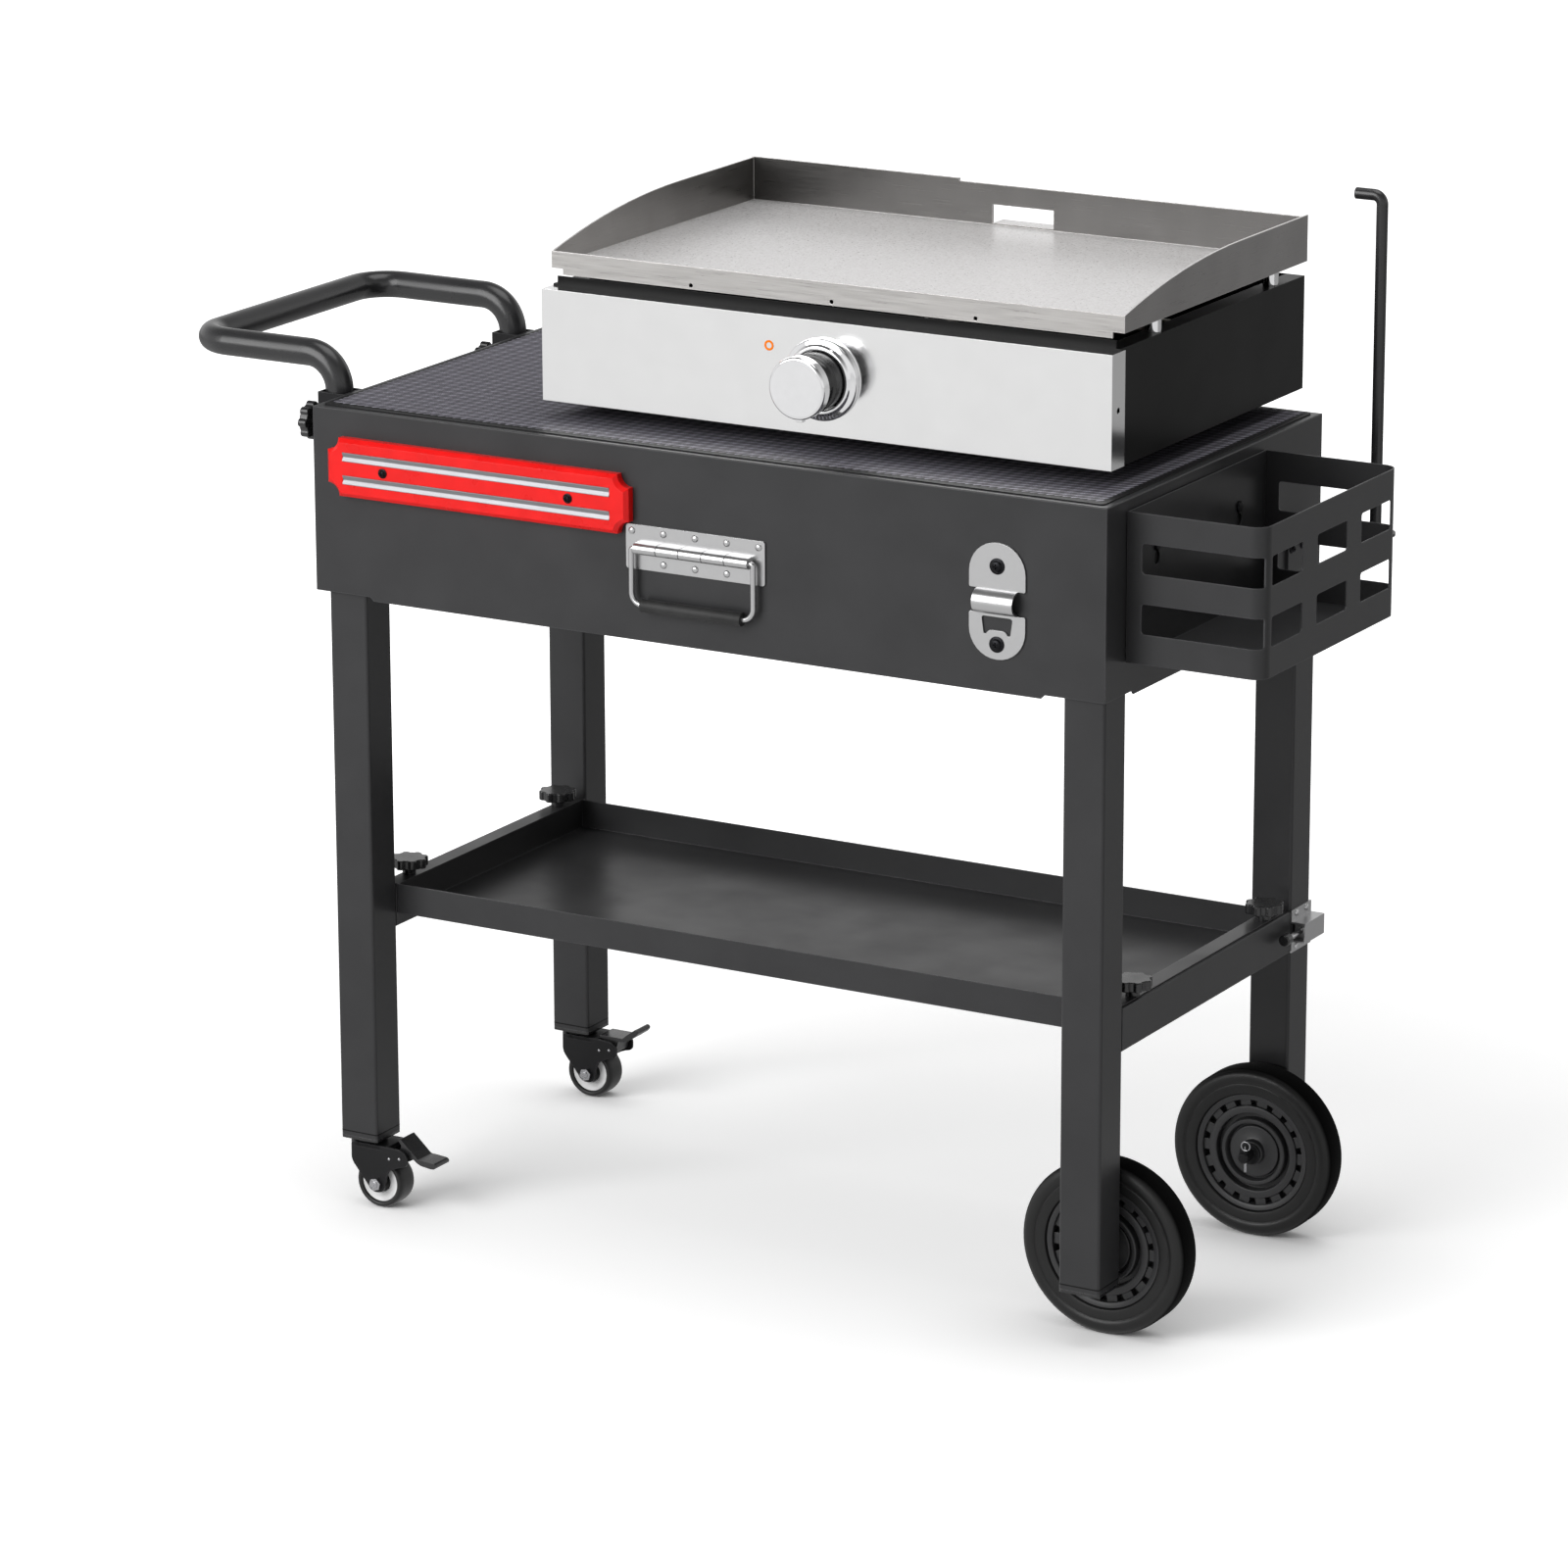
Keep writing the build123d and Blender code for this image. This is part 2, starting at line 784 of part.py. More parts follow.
# Carry handle: plate with a knuckle, and a bail that swings in it
knuckle_y = y0 - knuckle_out
with BuildPart() as carry_plate:
    with BuildSketch(facing_front(y0)):
        with Locations((x0 + carry_x, carry_z)):
            RectangleRounded(carry_w, carry_h, carry_corner)
        for sx, sz in carry_rivets:
            with Locations((x0 + sx, sz)):
                Circle(rivet_r + hole_fit, mode=Mode.SUBTRACT)
    extrude(amount=carry_t)
    with BuildSketch(facing_right(x0 + carry_x - knuckle_w / 2)):
        with Locations((knuckle_y, carry_z)):
            Circle(knuckle_r)
        with Locations((y0 - knuckle_out / 2, carry_z)):
            Rectangle(knuckle_out, 2 * knuckle_r)
    extrude(amount=knuckle_w)
    with BuildSketch(facing_right(x0 + carry_x - knuckle_w / 2)):
        with Locations((knuckle_y, carry_z)):
            Circle(bail_r + pin_fit)
    extrude(amount=knuckle_w, mode=Mode.SUBTRACT)
    with BuildSketch(facing_front(y0 - carry_t)):
        for slit in range(1, knuckle_count):
            slit_x = x0 + carry_x - knuckle_w / 2 + slit * knuckle_w / knuckle_count
            with Locations((slit_x, carry_z)):
                Rectangle(knuckle_slit, 2 * knuckle_r)
    extrude(amount=knuckle_out + knuckle_r, mode=Mode.SUBTRACT)
keep(carry_plate.part, "carry_plate")

with BuildPart() as carry_bail:
    bail_left = x0 + carry_x - bail_w / 2 + bail_r
    bail_right = x0 + carry_x + bail_w / 2 - bail_r
    bail_low = carry_z - bail_drop
    with BuildLine():
        FilletPolyline(
            (bail_left + bail_pin, knuckle_y, carry_z), (bail_left, knuckle_y, carry_z),
            (bail_left, knuckle_y, bail_low), (bail_right, knuckle_y, bail_low),
            (bail_right, knuckle_y, carry_z), (bail_right - bail_pin, knuckle_y, carry_z),
            radius=[bail_bend_r, bail_corner_r, bail_corner_r, bail_bend_r])
    with BuildSketch(facing_right(bail_left + bail_pin)):
        with Locations((knuckle_y, carry_z)):
            Circle(bail_r)
    sweep()
keep(carry_bail.part, "carry_bail")

with BuildPart() as carry_grip:
    with BuildSketch(facing_right(x0 + carry_x - grip_w / 2)):
        with Locations((knuckle_y, bail_low)):
            Circle(grip_r)
            Circle(bail_r + hole_fit, mode=Mode.SUBTRACT)
    extrude(amount=grip_w)
keep(carry_grip.part, "carry_grip")

# Bottle opener: an oval plate with a hump across it and a mouth below the hump
with BuildPart() as bottle_opener:
    hump_low = hump_z - hump_h / 2
    with BuildSketch(facing_front(y0)):
        with Locations((x0 + opener_x, opener_z)):
            RectangleRounded(opener_w, opener_h, opener_corner_r)
        with Locations((x0 + opener_x, hump_z)):
            Rectangle(opener_w, hump_h, mode=Mode.SUBTRACT)
        with Locations((x0 + opener_x, hump_z - mouth_drop)):
            Trapezoid(mouth_w, mouth_h, mouth_slant, rotation=180, mode=Mode.SUBTRACT)
        with Locations((x0 + opener_x, hump_z - mouth_drop - mouth_h / 2)):
            Rectangle(tooth_w, tooth_h)
        for sx, sz in opener_screws:
            with Locations((x0 + sx, sz)):
                Circle(screw_r + hole_fit, mode=Mode.SUBTRACT)
    extrude(amount=opener_t)
    with BuildSketch(facing_right(x0 + opener_x - hump_w / 2)):
        with BuildLine():
            hump_top = hump_low + hump_h
            inner_out = hump_out - opener_t
            Polyline((y0, hump_low), (y0 - opener_t, hump_low))
            ThreePointArc((y0 - opener_t, hump_low), (y0 - hump_out, hump_z), (y0 - opener_t, hump_top))
            Polyline((y0 - opener_t, hump_top), (y0, hump_top), (y0, hump_top - opener_t))
            ThreePointArc((y0, hump_top - opener_t), (y0 - inner_out, hump_z), (y0, hump_low + opener_t))
            Line((y0, hump_low + opener_t), (y0, hump_low))
        make_face()
    extrude(amount=hump_w)
keep(bottle_opener.part, "bottle_opener")

# Rivets of the carry plate and of the latch, and the studs that carry the basket
latch_x = right_leg_x + leg_size / 2
latch_rivets = [(dy, dz) for dy in (-latch_rivet_y, latch_rivet_y)
                for dz in (-latch_rivet_z, latch_rivet_z)]
with BuildPart() as rivets:
    for sx, sz in carry_rivets:
        with BuildSketch(facing_front(y0 - carry_t)):
            with Locations((x0 + sx, sz)):
                Circle(rivet_head_r)
        extrude(amount=rivet_head_t, taper=rivet_slope)
        with BuildSketch(facing_front(y0 - carry_t)):
            with Locations((x0 + sx, sz)):
                Circle(rivet_r)
        extrude(amount=-carry_t - case_sheet)
    for dy, dz in latch_rivets:
        with BuildSketch(facing_right(latch_x + latch_t)):
            with Locations((back_leg_y + dy, latch_z + dz)):
                Circle(rivet_head_r)
        extrude(amount=rivet_head_t, taper=rivet_slope)
        with BuildSketch(facing_right(latch_x + latch_t)):
            with Locations((back_leg_y + dy, latch_z + dz)):
                Circle(rivet_r)
        extrude(amount=-latch_t)
    shank_out = basket_gap + basket_sheet + stud_play
    for stud_y in basket_studs_y:
        with BuildSketch(facing_right(x1 - case_sheet)):
            with Locations((y0 + stud_y, basket_stud_z)):
                Circle(stud_r)
        extrude(amount=case_sheet + shank_out)
        with BuildSketch(facing_right(x1 + shank_out)):
            with Locations((y0 + stud_y, basket_stud_z)):
                Circle(stud_head_r)
        extrude(amount=stud_head_t)
keep(rivets.part, "rivets")

# Spring latch: a hat of sheet with a guide block, a bolt and its knob
latch_y0 = back_leg_y - leg_size / 2
bolt_x = latch_x + latch_axis_out
with BuildPart() as latch_bracket:
    hat_low = latch_z - hat_h / 2
    hat_high = latch_z + hat_h / 2
    with BuildSketch(facing_front(back_leg_y + leg_size / 2)):
        with BuildLine():
            Polyline(
                (latch_x, latch_z - latch_h / 2), (latch_x + latch_t, latch_z - latch_h / 2),
                (latch_x + latch_t, hat_low), (latch_x + hat_out, hat_low),
                (latch_x + hat_out, hat_high), (latch_x + latch_t, hat_high),
                (latch_x + latch_t, latch_z + latch_h / 2), (latch_x, latch_z + latch_h / 2),
                (latch_x, hat_high - latch_t), (latch_x + hat_out - latch_t, hat_high - latch_t),
                (latch_x + hat_out - latch_t, hat_low + latch_t), (latch_x, hat_low + latch_t),
                close=True)
        make_face()
    extrude(amount=leg_size)
    with BuildSketch(facing_right(latch_x)):
        for dy, dz in latch_rivets:
            with Locations((back_leg_y + dy, latch_z + dz)):
                Circle(rivet_r + hole_fit)
    extrude(amount=latch_t, mode=Mode.SUBTRACT)
    with BuildSketch(facing_front(back_leg_y + guide_w / 2)):
        with Locations((bolt_x - latch_t / 2, latch_z)):
            Rectangle(guide_h - latch_t / 2, hat_h - 2 * latch_t)
        with Locations((bolt_x, latch_z)):
            Circle(latch_pin_r + latch_fit, mode=Mode.SUBTRACT)
    extrude(amount=guide_w)
keep(latch_bracket.part, "latch_bracket")

bolt_front = latch_y0 - latch_pin_front
with BuildPart() as latch_pin:
    with BuildSketch(facing_front(back_leg_y + leg_size / 2 + latch_pin_back)):
        with Locations((bolt_x, latch_z)):
            Circle(latch_pin_r)
    extrude(amount=leg_size + latch_pin_back + latch_pin_front)
keep(latch_pin.part, "latch_pin")

with BuildPart() as latch_knob:
    with BuildSketch(facing_front(bolt_front)):
        with Locations((bolt_x, latch_z)):
            Circle(latch_knob_r)
    extrude(amount=latch_knob_l)
    fillet(latch_knob.edges().filter_by(GeomType.CIRCLE), latch_knob_round)
keep(latch_knob.part, "latch_knob")

# Bottle basket: a wrapped sheet with rows of windows, and a folded back and floor
basket_x0 = x1 + basket_gap
basket_x1 = x1 + basket_gap + basket_w
basket_y0 = y0 + basket_front_y
basket_y1 = basket_y0 + basket_d
basket_z1 = worktop_z - basket_top_drop
basket_z0 = basket_z1 - basket_h
row_h = basket_h / basket_row_count
basket_mid_y = (basket_y0 + basket_y1) / 2
with BuildPart() as basket_wrap:
    with BuildSketch(level(basket_z0)):
        with BuildLine():
            FilletPolyline((basket_x0, basket_y0), (basket_x1, basket_y0),
                           (basket_x1, basket_y1), (basket_x0, basket_y1), radius=basket_corner_r)
            Line((basket_x0, basket_y1), (basket_x0, basket_y1 - basket_sheet))
            FilletPolyline((basket_x0, basket_y1 - basket_sheet),
                           (basket_x1 - basket_sheet, basket_y1 - basket_sheet),
                           (basket_x1 - basket_sheet, basket_y0 + basket_sheet),
                           (basket_x0, basket_y0 + basket_sheet),
                           radius=basket_corner_r - basket_sheet)
            Line((basket_x0, basket_y0 + basket_sheet), (basket_x0, basket_y0))
        make_face()
    extrude(amount=basket_h)
    end_w = basket_w - window_end_in - window_corner_in
    for row in (1, 3):
        row_mid_z = basket_z0 + (row + 1 / 2) * row_h
        for end_y, inward in ((basket_y0, -window_wrap), (basket_y1, window_wrap)):
            with BuildSketch(facing_front(end_y)):
                with Locations((basket_x0 + window_end_in + end_w / 2, row_mid_z)):
                    RectangleRounded(end_w, row_h, window_round)
            extrude(amount=inward, mode=Mode.SUBTRACT)
        with BuildSketch(facing_right(basket_x1)):
            for column in (-1, 0, 1):
                with Locations((basket_mid_y + column * window_apart, row_mid_z)):
                    RectangleRounded(window_w, row_h, window_round)
        extrude(amount=-2 * basket_sheet, mode=Mode.SUBTRACT)
keep(basket_wrap.part, "basket_wrap")

with BuildPart() as basket_back:
    inner_y0 = basket_y0 + basket_sheet + basket_back_gap
    inner_y1 = basket_y1 - basket_sheet - basket_back_gap
    inner_d = inner_y1 - inner_y0
    with BuildSketch(facing_right(basket_x0)):
        with Locations((basket_mid_y, (basket_z0 + basket_z1) / 2)):
            Rectangle(inner_d, basket_h)
        for stud_y in basket_studs_y:
            with Locations((y0 + stud_y, basket_stud_z - keyhole_drop)):
                Circle(keyhole_r, mode=Mode.SUBTRACT)
            with Locations((y0 + stud_y, basket_stud_z - keyhole_drop / 2)):
                Rectangle(2 * (stud_r + hole_fit), keyhole_drop, mode=Mode.SUBTRACT)
            with Locations((y0 + stud_y, basket_stud_z)):
                Circle(stud_r + hole_fit, mode=Mode.SUBTRACT)
    extrude(amount=basket_sheet)
    floor_x1 = basket_x1 - basket_sheet - basket_back_gap
    with BuildSketch(level(basket_z0)):
        with BuildLine():
            FilletPolyline((basket_x0, inner_y0), (floor_x1, inner_y0), (floor_x1, inner_y1),
                           (basket_x0, inner_y1), radius=basket_corner_r - basket_sheet)
            Line((basket_x0, inner_y1), (basket_x0, inner_y0))
        make_face()
    extrude(amount=basket_sheet)
keep(basket_back.part, "basket_back")

# Towel holder: an arm on the right skirt and a hooked rod that stands in its boss
rod_foot_z = arm_top_z - boss_h
with BuildPart() as towel_bracket:
    with BuildSketch(level(arm_top_z - arm_t)):
        with Locations((x1 + towel_out / 2, rod_y)):
            Rectangle(towel_out, arm_w)
        with Locations((rod_x, rod_y)):
            Circle(arm_w / 2)
    extrude(amount=arm_t)
    with BuildSketch(facing_right(x1)):
        with Locations((rod_y, arm_top_z - arm_foot_h / 2)):
            Rectangle(arm_w, arm_foot_h)
        for side in (-1, 1):
            with Locations((rod_y + side * towel_screw_apart / 2, towel_foot_z)):
                Circle(screw_r + hole_fit, mode=Mode.SUBTRACT)
    extrude(amount=arm_t)
    with BuildSketch(level(rod_foot_z)):
        with Locations((rod_x, rod_y)):
            Circle(boss_r)
    extrude(amount=boss_h - arm_t)
    with BuildSketch(level(rod_foot_z + arm_t)):
        with Locations((rod_x, rod_y)):
            Circle(towel_r + towel_fit)
    extrude(amount=boss_h, mode=Mode.SUBTRACT)
keep(towel_bracket.part, "towel_bracket")

with BuildPart() as towel_rod:
    rod_axis_z = towel_top_z - towel_r
    with BuildLine():
        FilletPolyline((rod_x, rod_y, rod_foot_z + arm_t), (rod_x, rod_y, rod_axis_z),
                       (rod_x - towel_hook, rod_y, rod_axis_z), radius=towel_bend_r)
    with BuildSketch(level(rod_foot_z + arm_t)):
        with Locations((rod_x, rod_y)):
            Circle(towel_r)
    sweep()
keep(towel_rod.part, "towel_rod")


# Large wheels, each on a stub axle that stands on the inner face of its leg
def wheel_tyre(y):
    """Solid tyre whose mid plane is at a depth y."""
    rim_r = wheel_r - tyre_depth
    with BuildPart() as tyre:
        with BuildSketch(cross_section(right_leg_x, y, wheel_r)):
            with Locations((0, rim_r + rim_fit + (tyre_depth - rim_fit) / 2)):
                Rectangle(wheel_w, tyre_depth - rim_fit)
        revolve(axis=Axis((right_leg_x, y, wheel_r), (0, 1, 0)))
        fillet(tyre.edges().filter_by(GeomType.CIRCLE).group_by(SortBy.RADIUS)[-1], tyre_round)
    return tyre.part


def wheel_rim(y):
    """Rim with a hub, a raised ring and a ring of notches on both faces."""
    rim_r = wheel_r - tyre_depth
    half = [(axle_r + axle_fit, hub_w / 2), (hub_r, hub_w / 2), (hub_r, rim_web_w / 2),
            (ring_r - ring_t, rim_web_w / 2), (ring_r - ring_t, ring_w / 2), (ring_r, ring_w / 2),
            (ring_r, rim_web_w / 2), (ring_r + rim_groove, rim_web_w / 2),
            (ring_r + rim_groove, rim_lip_w / 2),
            (rim_r, rim_lip_w / 2)]
    outline = [(w, r) for r, w in half] + [(-w, r) for r, w in reversed(half)]
    with BuildPart() as rim:
        with BuildSketch(cross_section(right_leg_x, y, wheel_r)):
            Polygon(*outline, align=None)
        revolve(axis=Axis((right_leg_x, y, wheel_r), (0, 1, 0)))
        for side in (-1, 1):
            with BuildSketch(facing_front(y + side * rim_lip_w / 2)):
                with Locations((right_leg_x, wheel_r)):
                    with PolarLocations(notch_ring_r, notch_count):
                        Rectangle(notch_l, notch_w)
            extrude(amount=side * notch_deep, mode=Mode.SUBTRACT)
    return rim.part


wheel_off = wheel_gap + washer_t + wheel_gap + wheel_w / 2
wheel_ys = {"front": leg_front_face + wheel_off, "back": leg_back_face - wheel_off}
for place, wheel_y in wheel_ys.items():
    keep(wheel_tyre(wheel_y), f"wheel_tyre_{place}")
    keep(wheel_rim(wheel_y), f"wheel_rim_{place}")

# Stub axles of the wheels and swivel stems of the casters
race_z = left_leg_bottom - race_t
fork_top_z = race_z - swivel_gap
fork_top_low = fork_top_z - fork_top_t
fork_back_x = fork_back_in - race_r
fork_in = caster_w / 2 + fork_gap
fork_out = fork_in + fork_t
caster_hub_r = caster_r - caster_tyre_depth
with BuildPart() as axles:
    for face, way in ((leg_front_face, 1), (leg_back_face, -1)):
        inner_end = face + way * (2 * wheel_off + axle_end)
        with BuildSketch(facing_front(face - way * axle_in_leg)):
            with Locations((right_leg_x, wheel_r)):
                Circle(axle_r)
        extrude(amount=-way * (axle_in_leg + 2 * wheel_off + axle_end))
        for washer_y in (face, face + way * (2 * wheel_off - washer_t - wheel_gap)):
            with BuildSketch(facing_front(washer_y)):
                with Locations((right_leg_x, wheel_r)):
                    Circle(washer_r)
            extrude(amount=-way * washer_t)
        cotter_y = inner_end - way * axle_end / 2
        with BuildSketch(level(wheel_r - axle_r - cotter_leg)):
            with Locations((right_leg_x, cotter_y)):
                Circle(cotter_leg_r)
        extrude(amount=2 * axle_r + cotter_leg + cotter_r)
        eye_z = wheel_r + axle_r + cotter_eye_r + cotter_r
        with BuildSketch(cross_section(right_leg_x, cotter_y, eye_z)):
            with Locations((0, cotter_eye_r)):
                Circle(cotter_r)
        revolve(axis=Axis((right_leg_x, cotter_y, eye_z), (0, 1, 0)))
    for caster_y in (front_leg_y, back_leg_y):
        head_top = fork_top_low - swivel_gap
        with BuildSketch(level(race_z)):
            with Locations((left_leg_x, caster_y)):
                Circle(race_r)
        extrude(amount=race_t)
        with BuildSketch(level(head_top - stem_head_t)):
            with Locations((left_leg_x, caster_y)):
                Circle(stem_head_r)
        extrude(amount=stem_head_t)
        with BuildSketch(level(head_top)):
            with Locations((left_leg_x, caster_y)):
                Circle(stem_r)
        extrude(amount=left_leg_bottom + stem_up - head_top)
keep(axles.part, "axles")


# Swivel casters under the left legs
def caster_fork(y):
    """Fork with a swivel plate and two cheeks that carry the axle and the pedal."""
    with BuildPart() as fork:
        with BuildSketch(level(fork_top_low)):
            with Locations((left_leg_x, y)):
                Circle(race_r)
            with Locations((left_leg_x + fork_top_l / 2, y)):
                Rectangle(fork_top_l, 2 * fork_out)
        extrude(amount=fork_top_t)
        for side_y in (y - fork_in, y + fork_out):
            with BuildSketch(facing_front(side_y)):
                with Locations((left_leg_x, 0)):
                    Polygon((fork_back_x, fork_top_z), (fork_back_x, fork_back_z),
                            (fork_foot_x0, fork_foot_z), (fork_foot_x1, fork_foot_z),
                            (fork_front_x, fork_front_z),
                            (pedal_x, pedal_z - fork_ear_r), (pedal_x, pedal_z + fork_ear_r),
                            (fork_top_l, fork_top_z), align=None)
                with Locations((left_leg_x + caster_trail, caster_r)):
                    Circle(fork_eye_r)
                with Locations((left_leg_x + pedal_x, pedal_z)):
                    Circle(fork_ear_r)
            extrude(amount=fork_t)
        with BuildSketch(level(fork_top_low)):
            with Locations((left_leg_x, y)):
                Circle(stem_r + caster_fit)
        extrude(amount=fork_top_t, mode=Mode.SUBTRACT)
        with BuildSketch(facing_front(y)):
            with Locations((left_leg_x + caster_trail, caster_r)):
                Circle(caster_axle_r + caster_fit)
            with Locations((left_leg_x + pedal_x, pedal_z)):
                Circle(pedal_pin_r + caster_fit)
        extrude(amount=2 * fork_out, both=True, mode=Mode.SUBTRACT)
    return fork.part


def caster_pins(y):
    """Axle bolt with a nut at each end, and the headed pin of the pedal."""
    with BuildPart() as pins:
        for px, pz, radius, head in ((caster_trail, caster_r, caster_axle_r, nut_r),
                                     (pedal_x, pedal_z, pedal_pin_r, pedal_head_r)):
            with BuildSketch(facing_front(y)):
                with Locations((left_leg_x + px, pz)):
                    Circle(radius)
            extrude(amount=fork_out, both=True)
            for side in (-1, 1):
                with BuildSketch(facing_front(y + side * fork_out)):
                    with Locations((left_leg_x + px, pz)):
                        RegularPolygon(head, 6)
                extrude(amount=-side * nut_t)
    return pins.part


def caster_tyre(y):
    """Round tread of a caster wheel."""
    with BuildPart() as tyre:
        with BuildSketch(facing_front(y + caster_w / 2)):
            with Locations((left_leg_x + caster_trail, caster_r)):
                Circle(caster_r)
                Circle(caster_hub_r + rim_fit, mode=Mode.SUBTRACT)
        extrude(amount=caster_w)
        fillet(tyre.edges().filter_by(GeomType.CIRCLE).group_by(SortBy.RADIUS)[-1], caster_round)
    return tyre.part


def caster_hub(y):
    """Pale core of a caster wheel, dished on both faces."""
    with BuildPart() as hub:
        with BuildSketch(facing_front(y + caster_hub_w / 2)):
            with Locations((left_leg_x + caster_trail, caster_r)):
                Circle(caster_hub_r)
                Circle(caster_axle_r + caster_fit, mode=Mode.SUBTRACT)
        extrude(amount=caster_hub_w)
        for side in (-1, 1):
            with BuildSketch(facing_front(y + side * caster_hub_w / 2)):
                with Locations((left_leg_x + caster_trail, caster_r)):
                    Circle(caster_hub_r - caster_rim_t)
                    Circle(caster_axle_r + caster_boss_t, mode=Mode.SUBTRACT)
            extrude(amount=side * caster_dish, mode=Mode.SUBTRACT)
    return hub.part


def caster_pedal(y, tilt):
    """Brake pedal on its pin, tilted toe down by an angle from its released position."""
    turn = math.radians(tilt)
    plane = Plane(origin=(left_leg_x + pedal_x, y + pedal_w / 2, pedal_z),
                  x_dir=(math.cos(turn), 0, -math.sin(turn)), z_dir=(0, -1, 0))
    with BuildPart() as pedal:
        with BuildSketch(plane):
            Circle(pedal_hub_r)
            Polygon((-pedal_hub_r, 0), (pedal_hub_r, 0), (pedal_web, pedal_rise),
                    (-pedal_web, pedal_rise), align=None)
            Polygon((-pedal_tail, pedal_rise), (pedal_flat, pedal_rise), (pedal_toe_l, pedal_toe_rise),
                    (pedal_toe_l, pedal_toe_rise + pedal_t), (pedal_flat, pedal_rise + pedal_t),
                    (-pedal_tail, pedal_rise + pedal_t), align=None)
            Circle(pedal_pin_r + caster_fit, mode=Mode.SUBTRACT)
        extrude(amount=pedal_w)
    return pedal.part


for place, caster_y, tilt in (("front", front_leg_y, pedal_press), ("back", back_leg_y, 0)):
    keep(caster_fork(caster_y), f"caster_fork_{place}")
    keep(caster_pins(caster_y), f"caster_pins_{place}")
    keep(caster_tyre(caster_y), f"caster_tyre_{place}")
    keep(caster_hub(caster_y), f"caster_hub_{place}")
    keep(caster_pedal(caster_y, tilt), f"caster_pedal_{place}")

# Griddle body: box, front panel and feet
mat_top = worktop_z + mat_t
body_z = mat_top + foot_h
panel_x0 = x0 + griddle_x
panel_x1 = panel_x0 + panel_w
panel_y0 = y0 + griddle_y
panel_x = (panel_x0 + panel_x1) / 2
box_x0 = panel_x0 + panel_t
box_x1 = panel_x1 - panel_t
box_w = box_x1 - box_x0
box_y0 = panel_y0 + panel_top_d
box_y1 = box_y0 + box_d
box_y = (box_y0 + box_y1) / 2
box_side_z = body_z + box_side_h
knob_x = panel_x0 + control_x
knob_z = body_z + control_z
gas_x = panel_x0 + pipe_x
gas_z = body_z + pipe_z
with BuildPart() as burner_box:
    with BuildSketch(level(body_z)):
        with Locations((panel_x, box_y)):
            Rectangle(box_w, box_d)
    extrude(amount=box_side_h)
    with BuildSketch(level(body_z + box_sheet)):
        with Locations((panel_x, box_y)):
            Rectangle(box_w - 2 * box_sheet, box_d - 2 * box_sheet)
    extrude(amount=box_side_h, mode=Mode.SUBTRACT)
    with BuildSketch(level(box_side_z - box_sheet)):
        with Locations((box_x0 + box_ledge / 2, box_y), (box_x1 - box_ledge / 2, box_y)):
            Rectangle(box_ledge, box_d)
    extrude(amount=box_sheet)
    with BuildSketch(facing_front(box_y0 + box_sheet)):
        with Locations((panel_x, box_side_z + (box_rim_h - box_side_h) / 2)):
            Rectangle(box_w - 2 * rim_in, box_rim_h - box_side_h)
    extrude(amount=box_sheet)
    with BuildSketch(facing_front(box_y0)):
        with Locations((knob_x, knob_z)):
            Circle(valve_stem_r + stem_hole)
    extrude(amount=-2 * box_sheet, mode=Mode.SUBTRACT)
    with BuildSketch(facing_front(box_y1)):
        with Locations((gas_x, gas_z)):
            Circle(pipe_r + pipe_hole)
    extrude(amount=2 * box_sheet, mode=Mode.SUBTRACT)
keep(burner_box.part, "burner_box")

with BuildPart() as front_panel:
    with BuildSketch(facing_front(panel_y0 + panel_t)):
        with Locations((panel_x, body_z + panel_h / 2)):
            Rectangle(panel_w, panel_h)
        with Locations((knob_x, knob_z)):
            Circle(valve_stem_r + stem_hole, mode=Mode.SUBTRACT)
    extrude(amount=panel_t)
    with BuildSketch(facing_right(panel_x0)):
        with Locations((panel_y0 + panel_return / 2, body_z + panel_h / 2)):
            Rectangle(panel_return, panel_h)
            Circle(panel_side_hole_r, mode=Mode.SUBTRACT)
    extrude(amount=panel_t)
    with BuildSketch(facing_right(panel_x1 - panel_t)):
        with Locations((panel_y0 + panel_return / 2, body_z + panel_h / 2)):
            Rectangle(panel_return, panel_h)
            Circle(panel_side_hole_r, mode=Mode.SUBTRACT)
    extrude(amount=panel_t)
    with BuildSketch(level(body_z + panel_h - panel_t)):
        with Locations((panel_x, panel_y0 + panel_top_d / 2)):
            Rectangle(panel_w, panel_top_d)
    extrude(amount=panel_t)
keep(front_panel.part, "front_panel")

with BuildPart() as griddle_feet:
    with BuildSketch(level(mat_top)):
        with Locations((panel_x, box_y)):
            with GridLocations(box_w - 2 * foot_in, box_d - 2 * foot_in, 2, 2):
                Circle(foot_r)
    extrude(amount=foot_h)
keep(griddle_feet.part, "griddle_feet")

